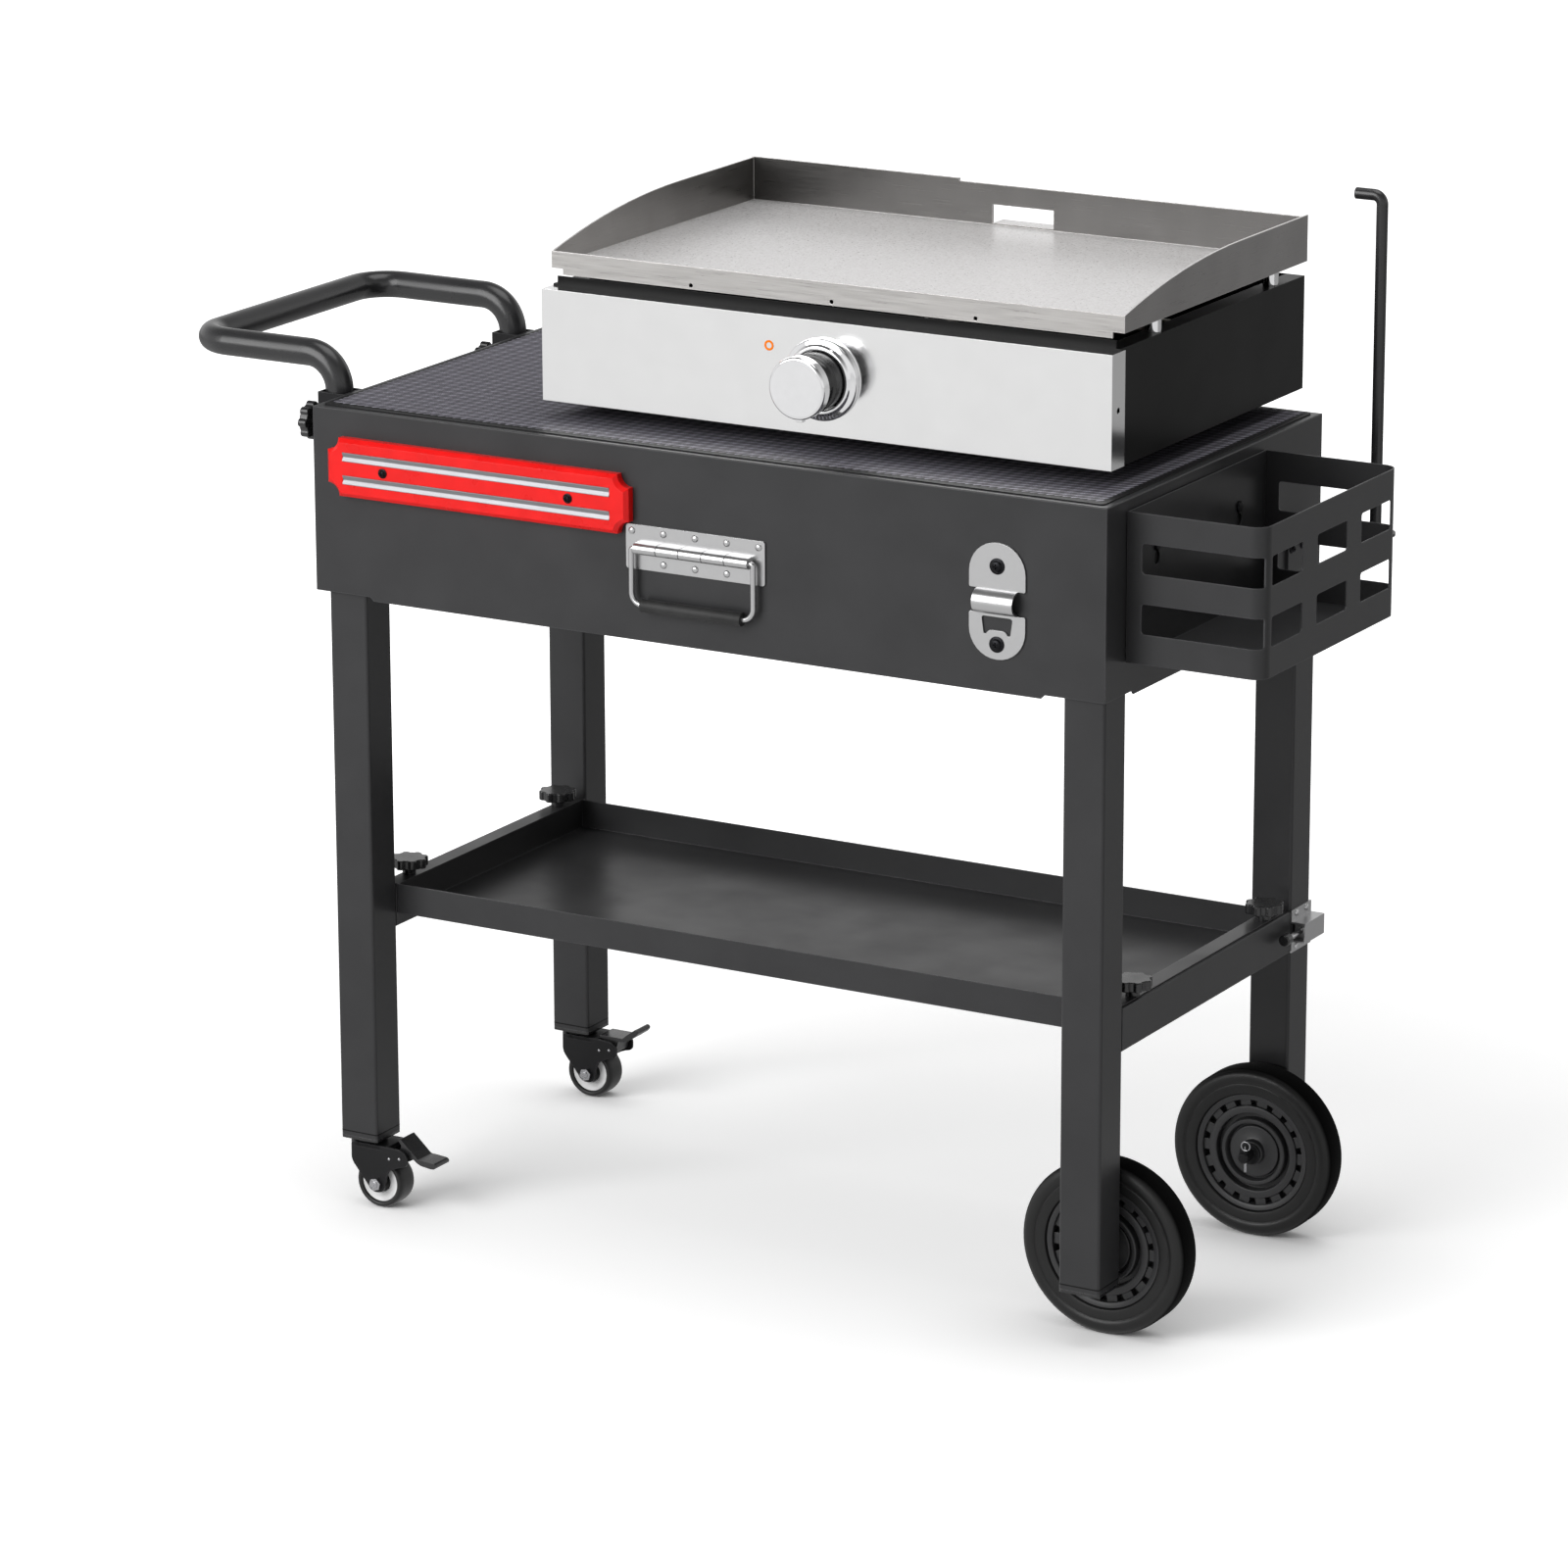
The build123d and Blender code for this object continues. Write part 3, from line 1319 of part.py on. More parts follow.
# Burner with its valve, gas pipe and inlet
tube_z = body_z + burner_z
tube_y0 = box_y0 + burner_front_in
tube_y1 = tube_y0 + burner_apart
valve_y0 = box_y0 + box_sheet
with BuildPart() as burner:
    with BuildSketch(facing_right(knob_x - burner_l / 2)):
        with Locations((tube_y0, tube_z), (tube_y1, tube_z)):
            Circle(burner_r)
    extrude(amount=burner_l)
    with BuildSketch(facing_front(tube_y1)):
        with Locations((knob_x, tube_z)):
            Circle(burner_r)
    extrude(amount=tube_y1 - valve_y0 - valve_d / 2)
    with BuildSketch(facing_front(valve_y0 + valve_d)):
        with Locations((knob_x, knob_z)):
            Rectangle(valve_w, valve_h)
        with Locations((knob_x, gas_z)):
            Rectangle(valve_w, valve_h / 2)
    extrude(amount=valve_d)
    with BuildSketch(facing_front(valve_y0)):
        with Locations((knob_x, knob_z)):
            Circle(valve_stem_r + stem_fit)
    extrude(amount=-stem_in_valve - stem_spare, mode=Mode.SUBTRACT)
    leg_low = body_z + box_sheet
    for tube_y in (tube_y0, tube_y1):
        for end in (-1, 1):
            leg_at = knob_x + end * (burner_l / 2 - burner_leg_in)
            with BuildSketch(facing_right(leg_at)):
                with Locations((tube_y, (leg_low + tube_z) / 2)):
                    Rectangle(burner_r, tube_z - leg_low)
            extrude(amount=burner_leg_t)
    pipe_y = valve_y0 + valve_d / 2
    with BuildLine():
        FilletPolyline((gas_x, box_y1 + pipe_out, gas_z), (gas_x, pipe_y, gas_z),
                       (knob_x, pipe_y, gas_z), radius=pipe_bend_r)
    with BuildSketch(facing_front(box_y1 + pipe_out)):
        with Locations((gas_x, gas_z)):
            Circle(pipe_r)
    sweep()
    with BuildSketch(facing_front(box_y1 + pipe_out)):
        with Locations((gas_x, gas_z)):
            Circle(inlet_r)
    extrude(amount=inlet_l)
keep(burner.part, "burner")

# Control knob in its bezel, on a stem that presses into the valve
face_y = panel_y0 - control_out
knob_back_y = panel_y0 - control_back_gap
knob_axis = Axis((knob_x, face_y, knob_z), (0, 1, 0))
with BuildPart() as knob_bezel:
    with BuildSketch(facing_front(panel_y0)):
        with Locations((knob_x, knob_z)):
            Circle(bezel_r)
            Circle(bezel_in_r, mode=Mode.SUBTRACT)
    extrude(amount=bezel_t)
    with BuildSketch(facing_front(panel_y0 - bezel_t)):
        with Locations((knob_x, knob_z)):
            Circle(bezel_step_r)
            Circle(bezel_in_r, mode=Mode.SUBTRACT)
    extrude(amount=bezel_step_t)
keep(knob_bezel.part, "knob_bezel")

with BuildPart() as valve_stem:
    with BuildSketch(facing_front(valve_y0 + stem_in_valve)):
        with Locations((knob_x, knob_z)):
            Circle(valve_stem_r)
    extrude(amount=valve_y0 + stem_in_valve - knob_back_y + stem_in_knob)
keep(valve_stem.part, "valve_stem")

with BuildPart() as control_knob:
    waist_at = control_face_t + control_waist_l
    knob_l = knob_back_y - face_y
    with BuildSketch(cross_section(knob_x, face_y, knob_z)):
        Polygon((0, 0), (0, control_r - control_bevel), (control_bevel, control_r),
                (control_face_t, control_r), (control_face_t, control_waist_r),
                (waist_at, control_waist_r), (waist_at, control_base_r),
                (knob_l, control_base_r), (knob_l, 0), align=None)
    revolve(axis=knob_axis)
    with BuildSketch(facing_front(face_y + control_face_t)):
        with Locations((knob_x, knob_z - control_r)):
            Rectangle(control_tab_w, 2 * control_tab_h)
    extrude(amount=control_face_t - control_bevel)
    with BuildSketch(facing_front(knob_back_y)):
        with Locations((knob_x, knob_z)):
            Circle(valve_stem_r + stem_fit)
    extrude(amount=stem_in_knob + stem_fit, mode=Mode.SUBTRACT)
keep(control_knob.part, "control_knob")

# Griddle plate on four posts
plate_w = panel_w + 2 * plate_over
plate_x0 = panel_x - plate_w / 2
plate_x1 = panel_x + plate_w / 2
plate_y0 = panel_y0 + plate_y
plate_y1 = plate_y0 + plate_d
plate_low = plate_floor_z - plate_t
drain_z = plate_floor_z + drain_up
with BuildPart() as griddle_plate:
    with BuildSketch(level(plate_low)):
        with Locations((panel_x, (plate_y0 + plate_y1) / 2)):
            Rectangle(plate_w, plate_d)
    extrude(amount=plate_t)
    curve_y = plate_y0 + plate_curve_y
    side_z = plate_floor_z + plate_side_h
    lip_z = plate_floor_z + plate_lip_h
    curve_mid = ((plate_y0 + curve_y) / 2, (side_z + lip_z) / 2 + plate_curve_lift)
    for wall_x in (plate_x0, plate_x1 - plate_wall_t):
        with BuildSketch(facing_right(wall_x)):
            with BuildLine():
                Polyline((curve_y, side_z), (plate_y1, side_z), (plate_y1, plate_low),
                         (plate_y0, plate_low), (plate_y0, lip_z))
                ThreePointArc((plate_y0, lip_z), curve_mid, (curve_y, side_z))
            make_face()
        extrude(amount=plate_wall_t)
    with BuildSketch(facing_front(plate_y1)):
        step_x = plate_x0 + plate_step_x
        with BuildLine():
            Polyline((plate_x0, plate_low), (plate_x1, plate_low),
                     (plate_x1, plate_floor_z + plate_back_low), (step_x, plate_floor_z + plate_back_low),
                     (step_x, plate_floor_z + plate_back_high),
                     (plate_x0, plate_floor_z + plate_back_high), close=True)
        make_face()
        with Locations((panel_x, drain_z + drain_h / 2)):
            Rectangle(drain_w, drain_h, mode=Mode.SUBTRACT)
    extrude(amount=plate_wall_t)
    with BuildSketch(facing_front(plate_y0 + plate_wall_t)):
        with Locations((panel_x, (plate_low + lip_z) / 2)):
            Rectangle(plate_w, lip_z - plate_low)
        with Locations((panel_x, plate_floor_z - apron_drop / 2)):
            Rectangle(plate_w - 2 * apron_in, apron_drop)
        for hole in (-1, 0, 1):
            with Locations((panel_x + hole * apron_hole_apart, plate_floor_z - apron_drop + apron_hole_up)):
                Circle(apron_hole_r, mode=Mode.SUBTRACT)
    extrude(amount=plate_wall_t)
    with BuildSketch(level(drain_z - spout_t)):
        with Locations((panel_x, plate_y1 + spout_l / 2)):
            Rectangle(drain_w, spout_l)
    extrude(amount=spout_t)
keep(griddle_plate.part, "griddle_plate")

with BuildPart() as plate_posts:
    with BuildSketch(level(box_side_z)):
        for post_x in (plate_x0 + post_in, plate_x1 - post_in):
            with Locations((post_x, plate_y0 + post_front_y), (post_x, plate_y0 + post_back_y)):
                Circle(post_r)
    extrude(amount=plate_low - box_side_z)
keep(plate_posts.part, "plate_posts")

# Grease cup that hooks over the back wall of the box
cup_y0 = box_y1 + cup_gap
cup_z1 = box_side_z - cup_top_drop
cup_y = cup_y0 + cup_d / 2
with BuildPart() as grease_cup:
    with BuildSketch(level(cup_z1 - cup_h)):
        with Locations((panel_x, cup_y)):
            RectangleRounded(cup_w, cup_d, cup_corner)
    extrude(amount=cup_h)
    with BuildSketch(level(cup_z1 - cup_h + cup_sheet)):
        with Locations((panel_x, cup_y)):
            RectangleRounded(cup_w - 2 * cup_sheet, cup_d - 2 * cup_sheet, cup_corner - cup_sheet)
    extrude(amount=cup_h, mode=Mode.SUBTRACT)
    hook_in_y = box_y1 - box_sheet - cup_gap
    hook_top = box_side_z + cup_sheet
    with BuildSketch(facing_right(panel_x - cup_hook_w / 2)):
        with BuildLine():
            Polyline((cup_y0, cup_z1 - cup_hook), (cup_y0 + cup_sheet, cup_z1 - cup_hook),
                     (cup_y0 + cup_sheet, hook_top), (hook_in_y - cup_sheet, hook_top),
                     (hook_in_y - cup_sheet, box_side_z - cup_hook), (hook_in_y, box_side_z - cup_hook),
                     (hook_in_y, box_side_z), (cup_y0, box_side_z), close=True)
        make_face()
    extrude(amount=cup_hook_w)
keep(grease_cup.part, "grease_cup")
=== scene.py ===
"""Looks of a steel grill cart with a tabletop griddle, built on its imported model."""
import json
import logging
import math
from dataclasses import dataclass, field
from enum import Enum
from typing import Any, Iterable, Sequence

import bmesh
import bpy
from mathutils import Matrix, Vector


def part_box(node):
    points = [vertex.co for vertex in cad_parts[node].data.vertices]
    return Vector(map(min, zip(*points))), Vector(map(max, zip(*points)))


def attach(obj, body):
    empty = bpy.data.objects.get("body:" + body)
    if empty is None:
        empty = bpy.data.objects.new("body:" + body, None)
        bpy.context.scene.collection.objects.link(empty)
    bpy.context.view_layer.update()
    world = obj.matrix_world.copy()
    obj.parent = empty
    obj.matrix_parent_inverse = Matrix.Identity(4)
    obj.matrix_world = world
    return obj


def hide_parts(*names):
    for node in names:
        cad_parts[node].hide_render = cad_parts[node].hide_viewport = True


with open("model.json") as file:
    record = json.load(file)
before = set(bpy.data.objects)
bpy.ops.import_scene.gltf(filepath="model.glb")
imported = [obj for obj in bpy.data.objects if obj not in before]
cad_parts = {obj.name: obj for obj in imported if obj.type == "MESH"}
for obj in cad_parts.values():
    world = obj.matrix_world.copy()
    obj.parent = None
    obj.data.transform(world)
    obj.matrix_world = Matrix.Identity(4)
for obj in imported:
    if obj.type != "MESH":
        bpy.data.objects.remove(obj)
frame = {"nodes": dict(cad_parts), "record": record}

LOG = logging.getLogger("grill_cart")
MM = 0.001
# Points closer than this are one point
MERGE_M = 0.001 * MM
# Range in which most values of a noise lie
NOISE_RANGE = (0.3, 0.7)
# Cosine of the turn at which an edge starts to pale with wear and painted highlight, and where it is palest
EDGE_TURN = (0.99, 0.80)
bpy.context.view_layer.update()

Point = tuple[float, float]
Socket = bpy.types.NodeSocket
Tree = bpy.types.NodeTree


def linear(hex_colour: str) -> tuple[float, float, float, float]:
    """Turn an sRGB hex colour into linear RGBA.

    Args:
        hex_colour: Colour such as "#3c3c3c".

    Returns:
        Red, green and blue in linear light, and an alpha of 1.
    """
    def channel(pair: str) -> float:
        """Linear value of one two-digit channel."""
        value = int(pair, 16) / 255
        return value / 12.92 if value <= 0.04045 else ((value + 0.055) / 1.055) ** 2.4
    digits = hex_colour.lstrip("#")
    return (channel(digits[0:2]), channel(digits[2:4]), channel(digits[4:6]), 1.0)


def add(tree: Tree, kind: str, inputs: dict[Any, Any] | None = None, **settings: Any) -> bpy.types.Node:
    """Add a node with its settings and its inputs.

    Args:
        tree: Node tree that gets the node.
        kind: Node type without its ShaderNode prefix.
        inputs: Input name or number to the output that feeds it, a hex colour or a constant.
        settings: Properties of the node itself.

    Returns:
        The new node.
    """
    node = tree.nodes.new("ShaderNode" + kind)
    for name, value in settings.items():
        setattr(node, name, value)
    for name, value in (inputs or {}).items():
        if isinstance(value, Socket):
            tree.links.new(value, node.inputs[name])
        else:
            node.inputs[name].default_value = linear(value) if isinstance(value, str) else value
    return node


def reckon(tree: Tree, operation: str, *terms: Socket | float, clamp: bool = False) -> Socket:
    """Work out a sum in a node tree.

    Args:
        tree: Node tree.
        operation: Kind of sum.
        terms: Outputs and constants that go in, in order.
        clamp: Whether the result stays from 0 to 1.

    Returns:
        The result.
    """
    return add(tree, "Math", dict(enumerate(terms)), operation=operation, use_clamp=clamp).outputs[0]


def remap(tree: Tree, value: Socket, source: Point, target: Point = (0.0, 1.0), smooth: bool = False) -> Socket:
    """Carry a value from one range to another.

    Args:
        tree: Node tree.
        value: Value that goes in.
        source: Its range.
        target: Range of the result.
        smooth: Whether the ends of the range are eased.

    Returns:
        The result.
    """
    ends = dict(zip(("From Min", "From Max", "To Min", "To Max"), (*source, *target)))
    return add(tree, "MapRange", {"Value": value, **ends},
               interpolation_type="SMOOTHSTEP" if smooth else "LINEAR").outputs[0]


@dataclass(frozen=True)
class Space:
    """Box that a node fills at rest."""

    low: Vector
    high: Vector

    @classmethod
    def of(cls, node: str) -> "Space":
        """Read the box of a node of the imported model.

        Args:
            node: Node name.

        Returns:
            Its box, in metres.
        """
        low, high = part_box(node)
        return cls(Vector(low), Vector(high))

    @property
    def middle(self) -> Vector:
        """Centre of the box."""
        return (self.low + self.high) / 2

    @property
    def size(self) -> Vector:
        """Sides of the box."""
        return self.high - self.low

    def at(self, x: float | None = None, y: float | None = None, z: float | None = None) -> Vector:
        """Centre of the box, moved to what is given.

        Args:
            x: Place from left to right in metres, or None for the centre.
            y: Place from front to back.
            z: Height.

        Returns:
            The point.
        """
        return Vector([own if given is None else given for given, own in zip((x, y, z), self.middle)])


class Run(Enum):
    """Way in which a metal surface was worked, which its marks follow."""

    NONE = "none"
    ALONG_X = "along_x"


class Surface:
    """Node tree of one material, with the steps that the finishes share."""

    def __init__(self, finish: "Finish", **shader: Any) -> None:
        """Make the material with a shader that has the finish's constants.

        Args:
            finish: Finish that gives the name, colour and roughness.
            shader: Further constants for sockets of the shader, with _ for each space.
        """
        self.finish = finish
        self.material = bpy.data.materials.new(finish.name)
        self.material.use_nodes = True
        self.material.diffuse_color = linear(finish.colour)
        self.tree = self.material.node_tree
        self.tree.nodes.clear()
        inputs = {"Base Color": finish.colour, "Roughness": finish.roughness}
        inputs.update({name.replace("_", " "): value for name, value in shader.items()})
        self.body = add(self.tree, "BsdfPrincipled", inputs)
        add(self.tree, "OutputMaterial", {"Surface": self.body.outputs[0]})

    def feed(self, **outputs: Socket) -> None:
        """Link outputs to sockets of the shader.

        Args:
            outputs: Output for each socket, which is named with _ for each space.
        """
        for name, output in outputs.items():
            self.tree.links.new(output, self.body.inputs[name.replace("_", " ")])

    def place(self, scale: Sequence[float] = (1, 1, 1)) -> Socket:
        """Object coordinates in metres.

        Args:
            scale: Stretch of the pattern along each axis.

        Returns:
            The mapped vector.
        """
        coordinates = add(self.tree, "TexCoord").outputs["Object"]
        return add(self.tree, "Mapping", {"Vector": coordinates, "Scale": scale}).outputs[0]

    def grain(self, size_mm: float, detail: float = 2.0, scale: Sequence[float] = (1, 1, 1)) -> Socket:
        """Noise whose spots are about size_mm across.

        Args:
            size_mm: Size of a spot.
            detail: Octaves of the noise.
            scale: Stretch of the noise along each axis.

        Returns:
            The noise value from 0 to 1.
        """
        return add(self.tree, "TexNoise", {"Vector": self.place(scale), "Scale": 1 / (size_mm * MM),
                                           "Detail": detail}).outputs[0]

    def spread(self, noise: Socket, low: float = 0.0, high: float = 1.0) -> Socket:
        """Map the usual range of a noise to another.

        Args:
            noise: Noise value.
            low: Result at its low end.
            high: Result at its high end.

        Returns:
            The mapped value.
        """
        return remap(self.tree, noise, NOISE_RANGE, (low, high))

    def tint(self, amount: Socket, dark: Socket | str, pale: Socket | str) -> Socket:
        """Mix two colours by a value.

        Args:
            amount: 0 gives dark and 1 gives pale.
            dark: First colour, as hex or an output.
            pale: Second colour, as hex or an output.

        Returns:
            The mixed colour.
        """
        return add(self.tree, "Mix", {0: amount, 6: dark, 7: pale}, data_type="RGBA").outputs[2]

    def mottled(self, colour: Socket | str, noise: Socket, by: float = 0.06) -> Socket:
        """Colour that turns a little lighter and darker with a noise.

        Args:
            colour: Colour, as hex or an output.
            noise: Noise value.
            by: Change of its value.

        Returns:
            The mottled colour.
        """
        value = self.spread(noise, 1 - by, 1 + by)
        return add(self.tree, "HueSaturation", {"Color": colour, "Value": value}).outputs[0]

    def roughen(self, noise: Socket, less: float, more: float) -> None:
        """Let the roughness of the finish fall and rise with a noise.

        Args:
            noise: Noise value.
            less: Fall at its low end.
            more: Rise at its high end.
        """
        self.feed(Roughness=self.spread(noise, self.finish.roughness - less, self.finish.roughness + more))

    def edge_wear_and_glint(self, reach_mm: float, most: float) -> Socket:
        """How far a point is on a sharp edge, from 0 to most: edge wear and painted highlight.

        Args:
            reach_mm: Reach of the wear from the edge.
            most: Value right on the edge.

        Returns:
            The wear.
        """
        edge = add(self.tree, "Bevel", {"Radius": reach_mm * MM}, samples=4).outputs[0]
        flat = add(self.tree, "NewGeometry").outputs["Normal"]
        turned = add(self.tree, "VectorMath", {0: edge, 1: flat}, operation="DOT_PRODUCT").outputs["Value"]
        return remap(self.tree, turned, EDGE_TURN, (0.0, most))

    def relief(self, height: Socket, depth_mm: float, strength: float, edge_mm: float) -> None:
        """Give the shader a bump over softly rounded edges.

        Args:
            height: Height from 0 to 1.
            depth_mm: Depth of the relief.
            strength: Strength of the bump.
            edge_mm: Radius that sharp edges seem to have.
        """
        edge = add(self.tree, "Bevel", {"Radius": edge_mm * MM}, samples=4).outputs[0]
        self.feed(Normal=add(self.tree, "Bump", {"Height": height, "Normal": edge, "Strength": strength,
                                                 "Distance": depth_mm * MM}).outputs[0])


@dataclass(frozen=True)
class Finish:
    """One surface finish: a named material with its own node tree."""

    name: str
    colour: str
    roughness: float

    def material(self) -> bpy.types.Material:
        """Plain version of the finish."""
        return Surface(self).material


@dataclass(frozen=True)
class PowderCoat(Finish):
    """Polyester powder on steel: satin, with a faint orange peel and paler edges, partly thin coat and partly
    painted highlight.
    """

    # Paler colour of sharp edges: wear of the thin coat and painted highlight
    wear_and_edge_glint: str = "#5c5c5e"
    gloss: float = 0.14
    peel_mm: float = 1.8
    peel_depth: float = 0.012
    cloud_mm: float = 70
    thin_and_glint_mm: float = 1.8

    def material(self) -> bpy.types.Material:
        """Satin coat with orange peel, soft mottling and paler edges from thin coat and painted highlight."""
        coat = Surface(self, Specular_IOR_Level=self.gloss)
        cloud = coat.grain(self.cloud_mm, detail=3.0)
        coat.roughen(cloud, less=0.05, more=0.05)
        shade = coat.spread(cloud, high=0.06)
        # Edges painted paler: part wear, part painted highlight
        thin = reckon(coat.tree, "ADD", coat.edge_wear_and_glint(self.thin_and_glint_mm, most=0.5), shade, clamp=True)
        coat.feed(Base_Color=coat.tint(thin, self.colour, self.wear_and_edge_glint))
        coat.relief(coat.grain(self.peel_mm), self.peel_depth, strength=0.3, edge_mm=0.9)
        return coat.material


@dataclass(frozen=True)
class MouldedPlastic(Finish):
    """Injection-moulded plastic: spark-eroded grain when matt, smooth when glossy."""

    grain_mm: float = 0.6
    grain_depth: float = 0.05
    coat: float = 0.0
    gloss: float = 0.4
    cloud_mm: float = 25

    def material(self) -> bpy.types.Material:
        """Moulded skin with its grain and faint changes of tone and gloss."""
        skin = Surface(self, Specular_IOR_Level=self.gloss, Coat_Weight=self.coat, Coat_Roughness=0.06)
        cloud = skin.grain(self.cloud_mm)
        skin.roughen(cloud, less=0.04, more=0.05)
        skin.feed(Base_Color=skin.mottled(self.colour, cloud))
        skin.relief(skin.grain(self.grain_mm), self.grain_depth, strength=0.3, edge_mm=0.7)
        return skin.material


@dataclass(frozen=True)
class RubberSkin(Finish):
    """Moulded rubber: matt, with bloom in random patches and a soft sheen."""

    bloom: str = "#3a3a3a"
    grain_mm: float = 0.9
    dust_mm: float = 18

    def skin(self) -> Surface:
        """Matt rubber with grain, bloom and a weak sheen."""
        skin = Surface(self, Specular_IOR_Level=0.3, Sheen_Weight=0.06, Sheen_Roughness=0.4)
        fine = skin.grain(self.grain_mm, detail=3.0)
        dusty = skin.spread(skin.grain(self.dust_mm, detail=4.0), high=0.35)
        skin.feed(Base_Color=skin.tint(dusty, self.colour, self.bloom))
        skin.roughen(fine, less=0.08, more=0.08)
        skin.relief(fine, depth_mm=0.06, strength=0.35, edge_mm=0.8)
        return skin

    def material(self) -> bpy.types.Material:
        """The same skin all over."""
        return self.skin().material


@dataclass(frozen=True)
class TyreRubber(RubberSkin):
    """Solid tyre: dull grey-black side walls, and a tread painted deep black as painted shade."""

    # Painted shade: near-black colour of the tread
    tread: str = "#030303"
    turn_over: Point = (0.3, 0.8)
    gloss: Point = (0.02, 0.3)

    def material(self) -> bpy.types.Material:
        """Rubber that turns dull where it faces away from the axle's line, and black there as painted shade."""
        tyre = self.skin()
        tree = tyre.tree
        side, rough = (tyre.body.inputs[name].links[0].from_socket for name in ("Base Color", "Roughness"))
        facing = add(tree, "SeparateXYZ", {0: add(tree, "NewGeometry").outputs["Normal"]})
        # Where the rubber faces away from the axle's line it is painted near black as painted shade
        wall = remap(tree, reckon(tree, "ABSOLUTE", facing.outputs[1]), self.turn_over)
        dull = add(tree, "Mix", {0: wall, 2: 1.0, 3: rough}, data_type="FLOAT").outputs[0]
        gloss = remap(tree, wall, (0.0, 1.0), self.gloss)
        tyre.feed(Base_Color=tyre.tint(wall, self.tread, side), Roughness=dull, Specular_IOR_Level=gloss)
        return tyre.material


@dataclass(frozen=True)
class BareMetal(Finish):
    """Uncoated or plated metal with the marks of its last working."""

    mark: str = "#b0b0b0"
    run: Run = Run.NONE
    mark_mm: float = 0.35
    run_mm: float = 60
    mark_depth: float = 0.02
    spread_by: float = 0.06
    edge_mm: float = 0.5
    cloud_mm: float = 30
    cloud_lift: float = 0.5
    cloud_share: float = 0.6

    def material(self) -> bpy.types.Material:
        """Metal with marks in colour, gloss and relief, drawn out along the way it was worked."""
        metal = Surface(self, Metallic=1.0)
        tree = metal.tree
        drawn = self.mark_mm / self.run_mm if self.run is Run.ALONG_X else 1
        lines = metal.grain(self.mark_mm, detail=3.0, scale=(drawn, 1, 1))
        both = reckon(tree, "MULTIPLY_ADD", lines, metal.grain(self.cloud_mm, detail=3.0), self.cloud_lift)
        amount = metal.spread(reckon(tree, "MULTIPLY", both, self.cloud_share))
        metal.feed(Base_Color=metal.tint(amount, self.mark, self.colour))
        metal.roughen(lines, self.spread_by, self.spread_by)
        metal.relief(lines, self.mark_depth, strength=0.25, edge_mm=self.edge_mm)
        return metal.material


@dataclass(frozen=True)
class CookingSteel(Finish):
    """Rolled steel of the cooking plate: a grainy floor, a brushed apron, and walls painted darker as painted shade.
    """

    pit: str = "#cfcccb"
    # Wall tones are painted shade: walls darker than the floor, the back wall darkest, the left wall its own painted
    # tone
    wall: str = "#8f8d8c"
    left_wall_lighting: str = "#8e8c8a"
    back_wall_shade: str = "#4e4d4c"
    apron: str = "#aba9a7"
    brush: str = "#a19f9d"
    # Paler edges: wear and painted highlight
    edge: str = "#d8d6d4"
    pit_mm: float = 2.2
    brush_mm: float = 0.8
    stain_mm: float = 45
    lip_m: float = 0.01
    floor_metal: float = 0.5
    facing: float = 0.7

    def material(self) -> bpy.types.Material:
        """Steel whose marks follow the way each face looks, and whose tone per face is painted light and shade."""
        steel = Surface(self, Metallic=1.0)
        tree = steel.tree
        plate = Space.of("griddle_plate")
        normal = add(tree, "SeparateXYZ", {0: add(tree, "NewGeometry").outputs["True Normal"]}).outputs
        where = add(tree, "SeparateXYZ", {0: steel.place()}).outputs
        up = reckon(tree, "GREATER_THAN", normal[2], self.facing)
        front = reckon(tree, "LESS_THAN", normal[1], -self.facing)
        lip = reckon(tree, "LESS_THAN", where[1], plate.low.y + self.lip_m)
        left = reckon(tree, "LESS_THAN", where[0], plate.middle.x)
        pits = steel.grain(self.pit_mm, detail=4.0)
        brushed = steel.grain(self.brush_mm, detail=3.0, scale=(0.02, 0.02, 1))
        # Tone by side and facing is painted light and shade over the real pits and brushing
        side = steel.tint(left, self.wall, self.left_wall_lighting)
        stains = steel.grain(self.stain_mm, detail=4.0)
        wall = steel.mottled(steel.tint(front, side, self.back_wall_shade), stains)
        floor = steel.tint(steel.spread(pits), self.pit, self.colour)
        apron = steel.tint(steel.spread(brushed), self.brush, self.apron)
        tone = steel.tint(up, steel.tint(reckon(tree, "MULTIPLY", front, lip), wall, apron), floor)
        # Edges painted paler: part wear, part painted highlight
        wear_and_edge_glint = steel.edge_wear_and_glint(reach_mm=1.4, most=0.8)
        steel.feed(Base_Color=steel.tint(wear_and_edge_glint, tone, self.edge),
                   Metallic=reckon(tree, "MULTIPLY_ADD", up, self.floor_metal - 1, 1.0))
        marks = add(tree, "Mix", {0: up, 2: brushed, 3: pits}, data_type="FLOAT").outputs[0]
        steel.roughen(marks, less=0.07, more=0.07)
        steel.relief(marks, depth_mm=0.05, strength=0.35, edge_mm=0.7)
        return steel.material


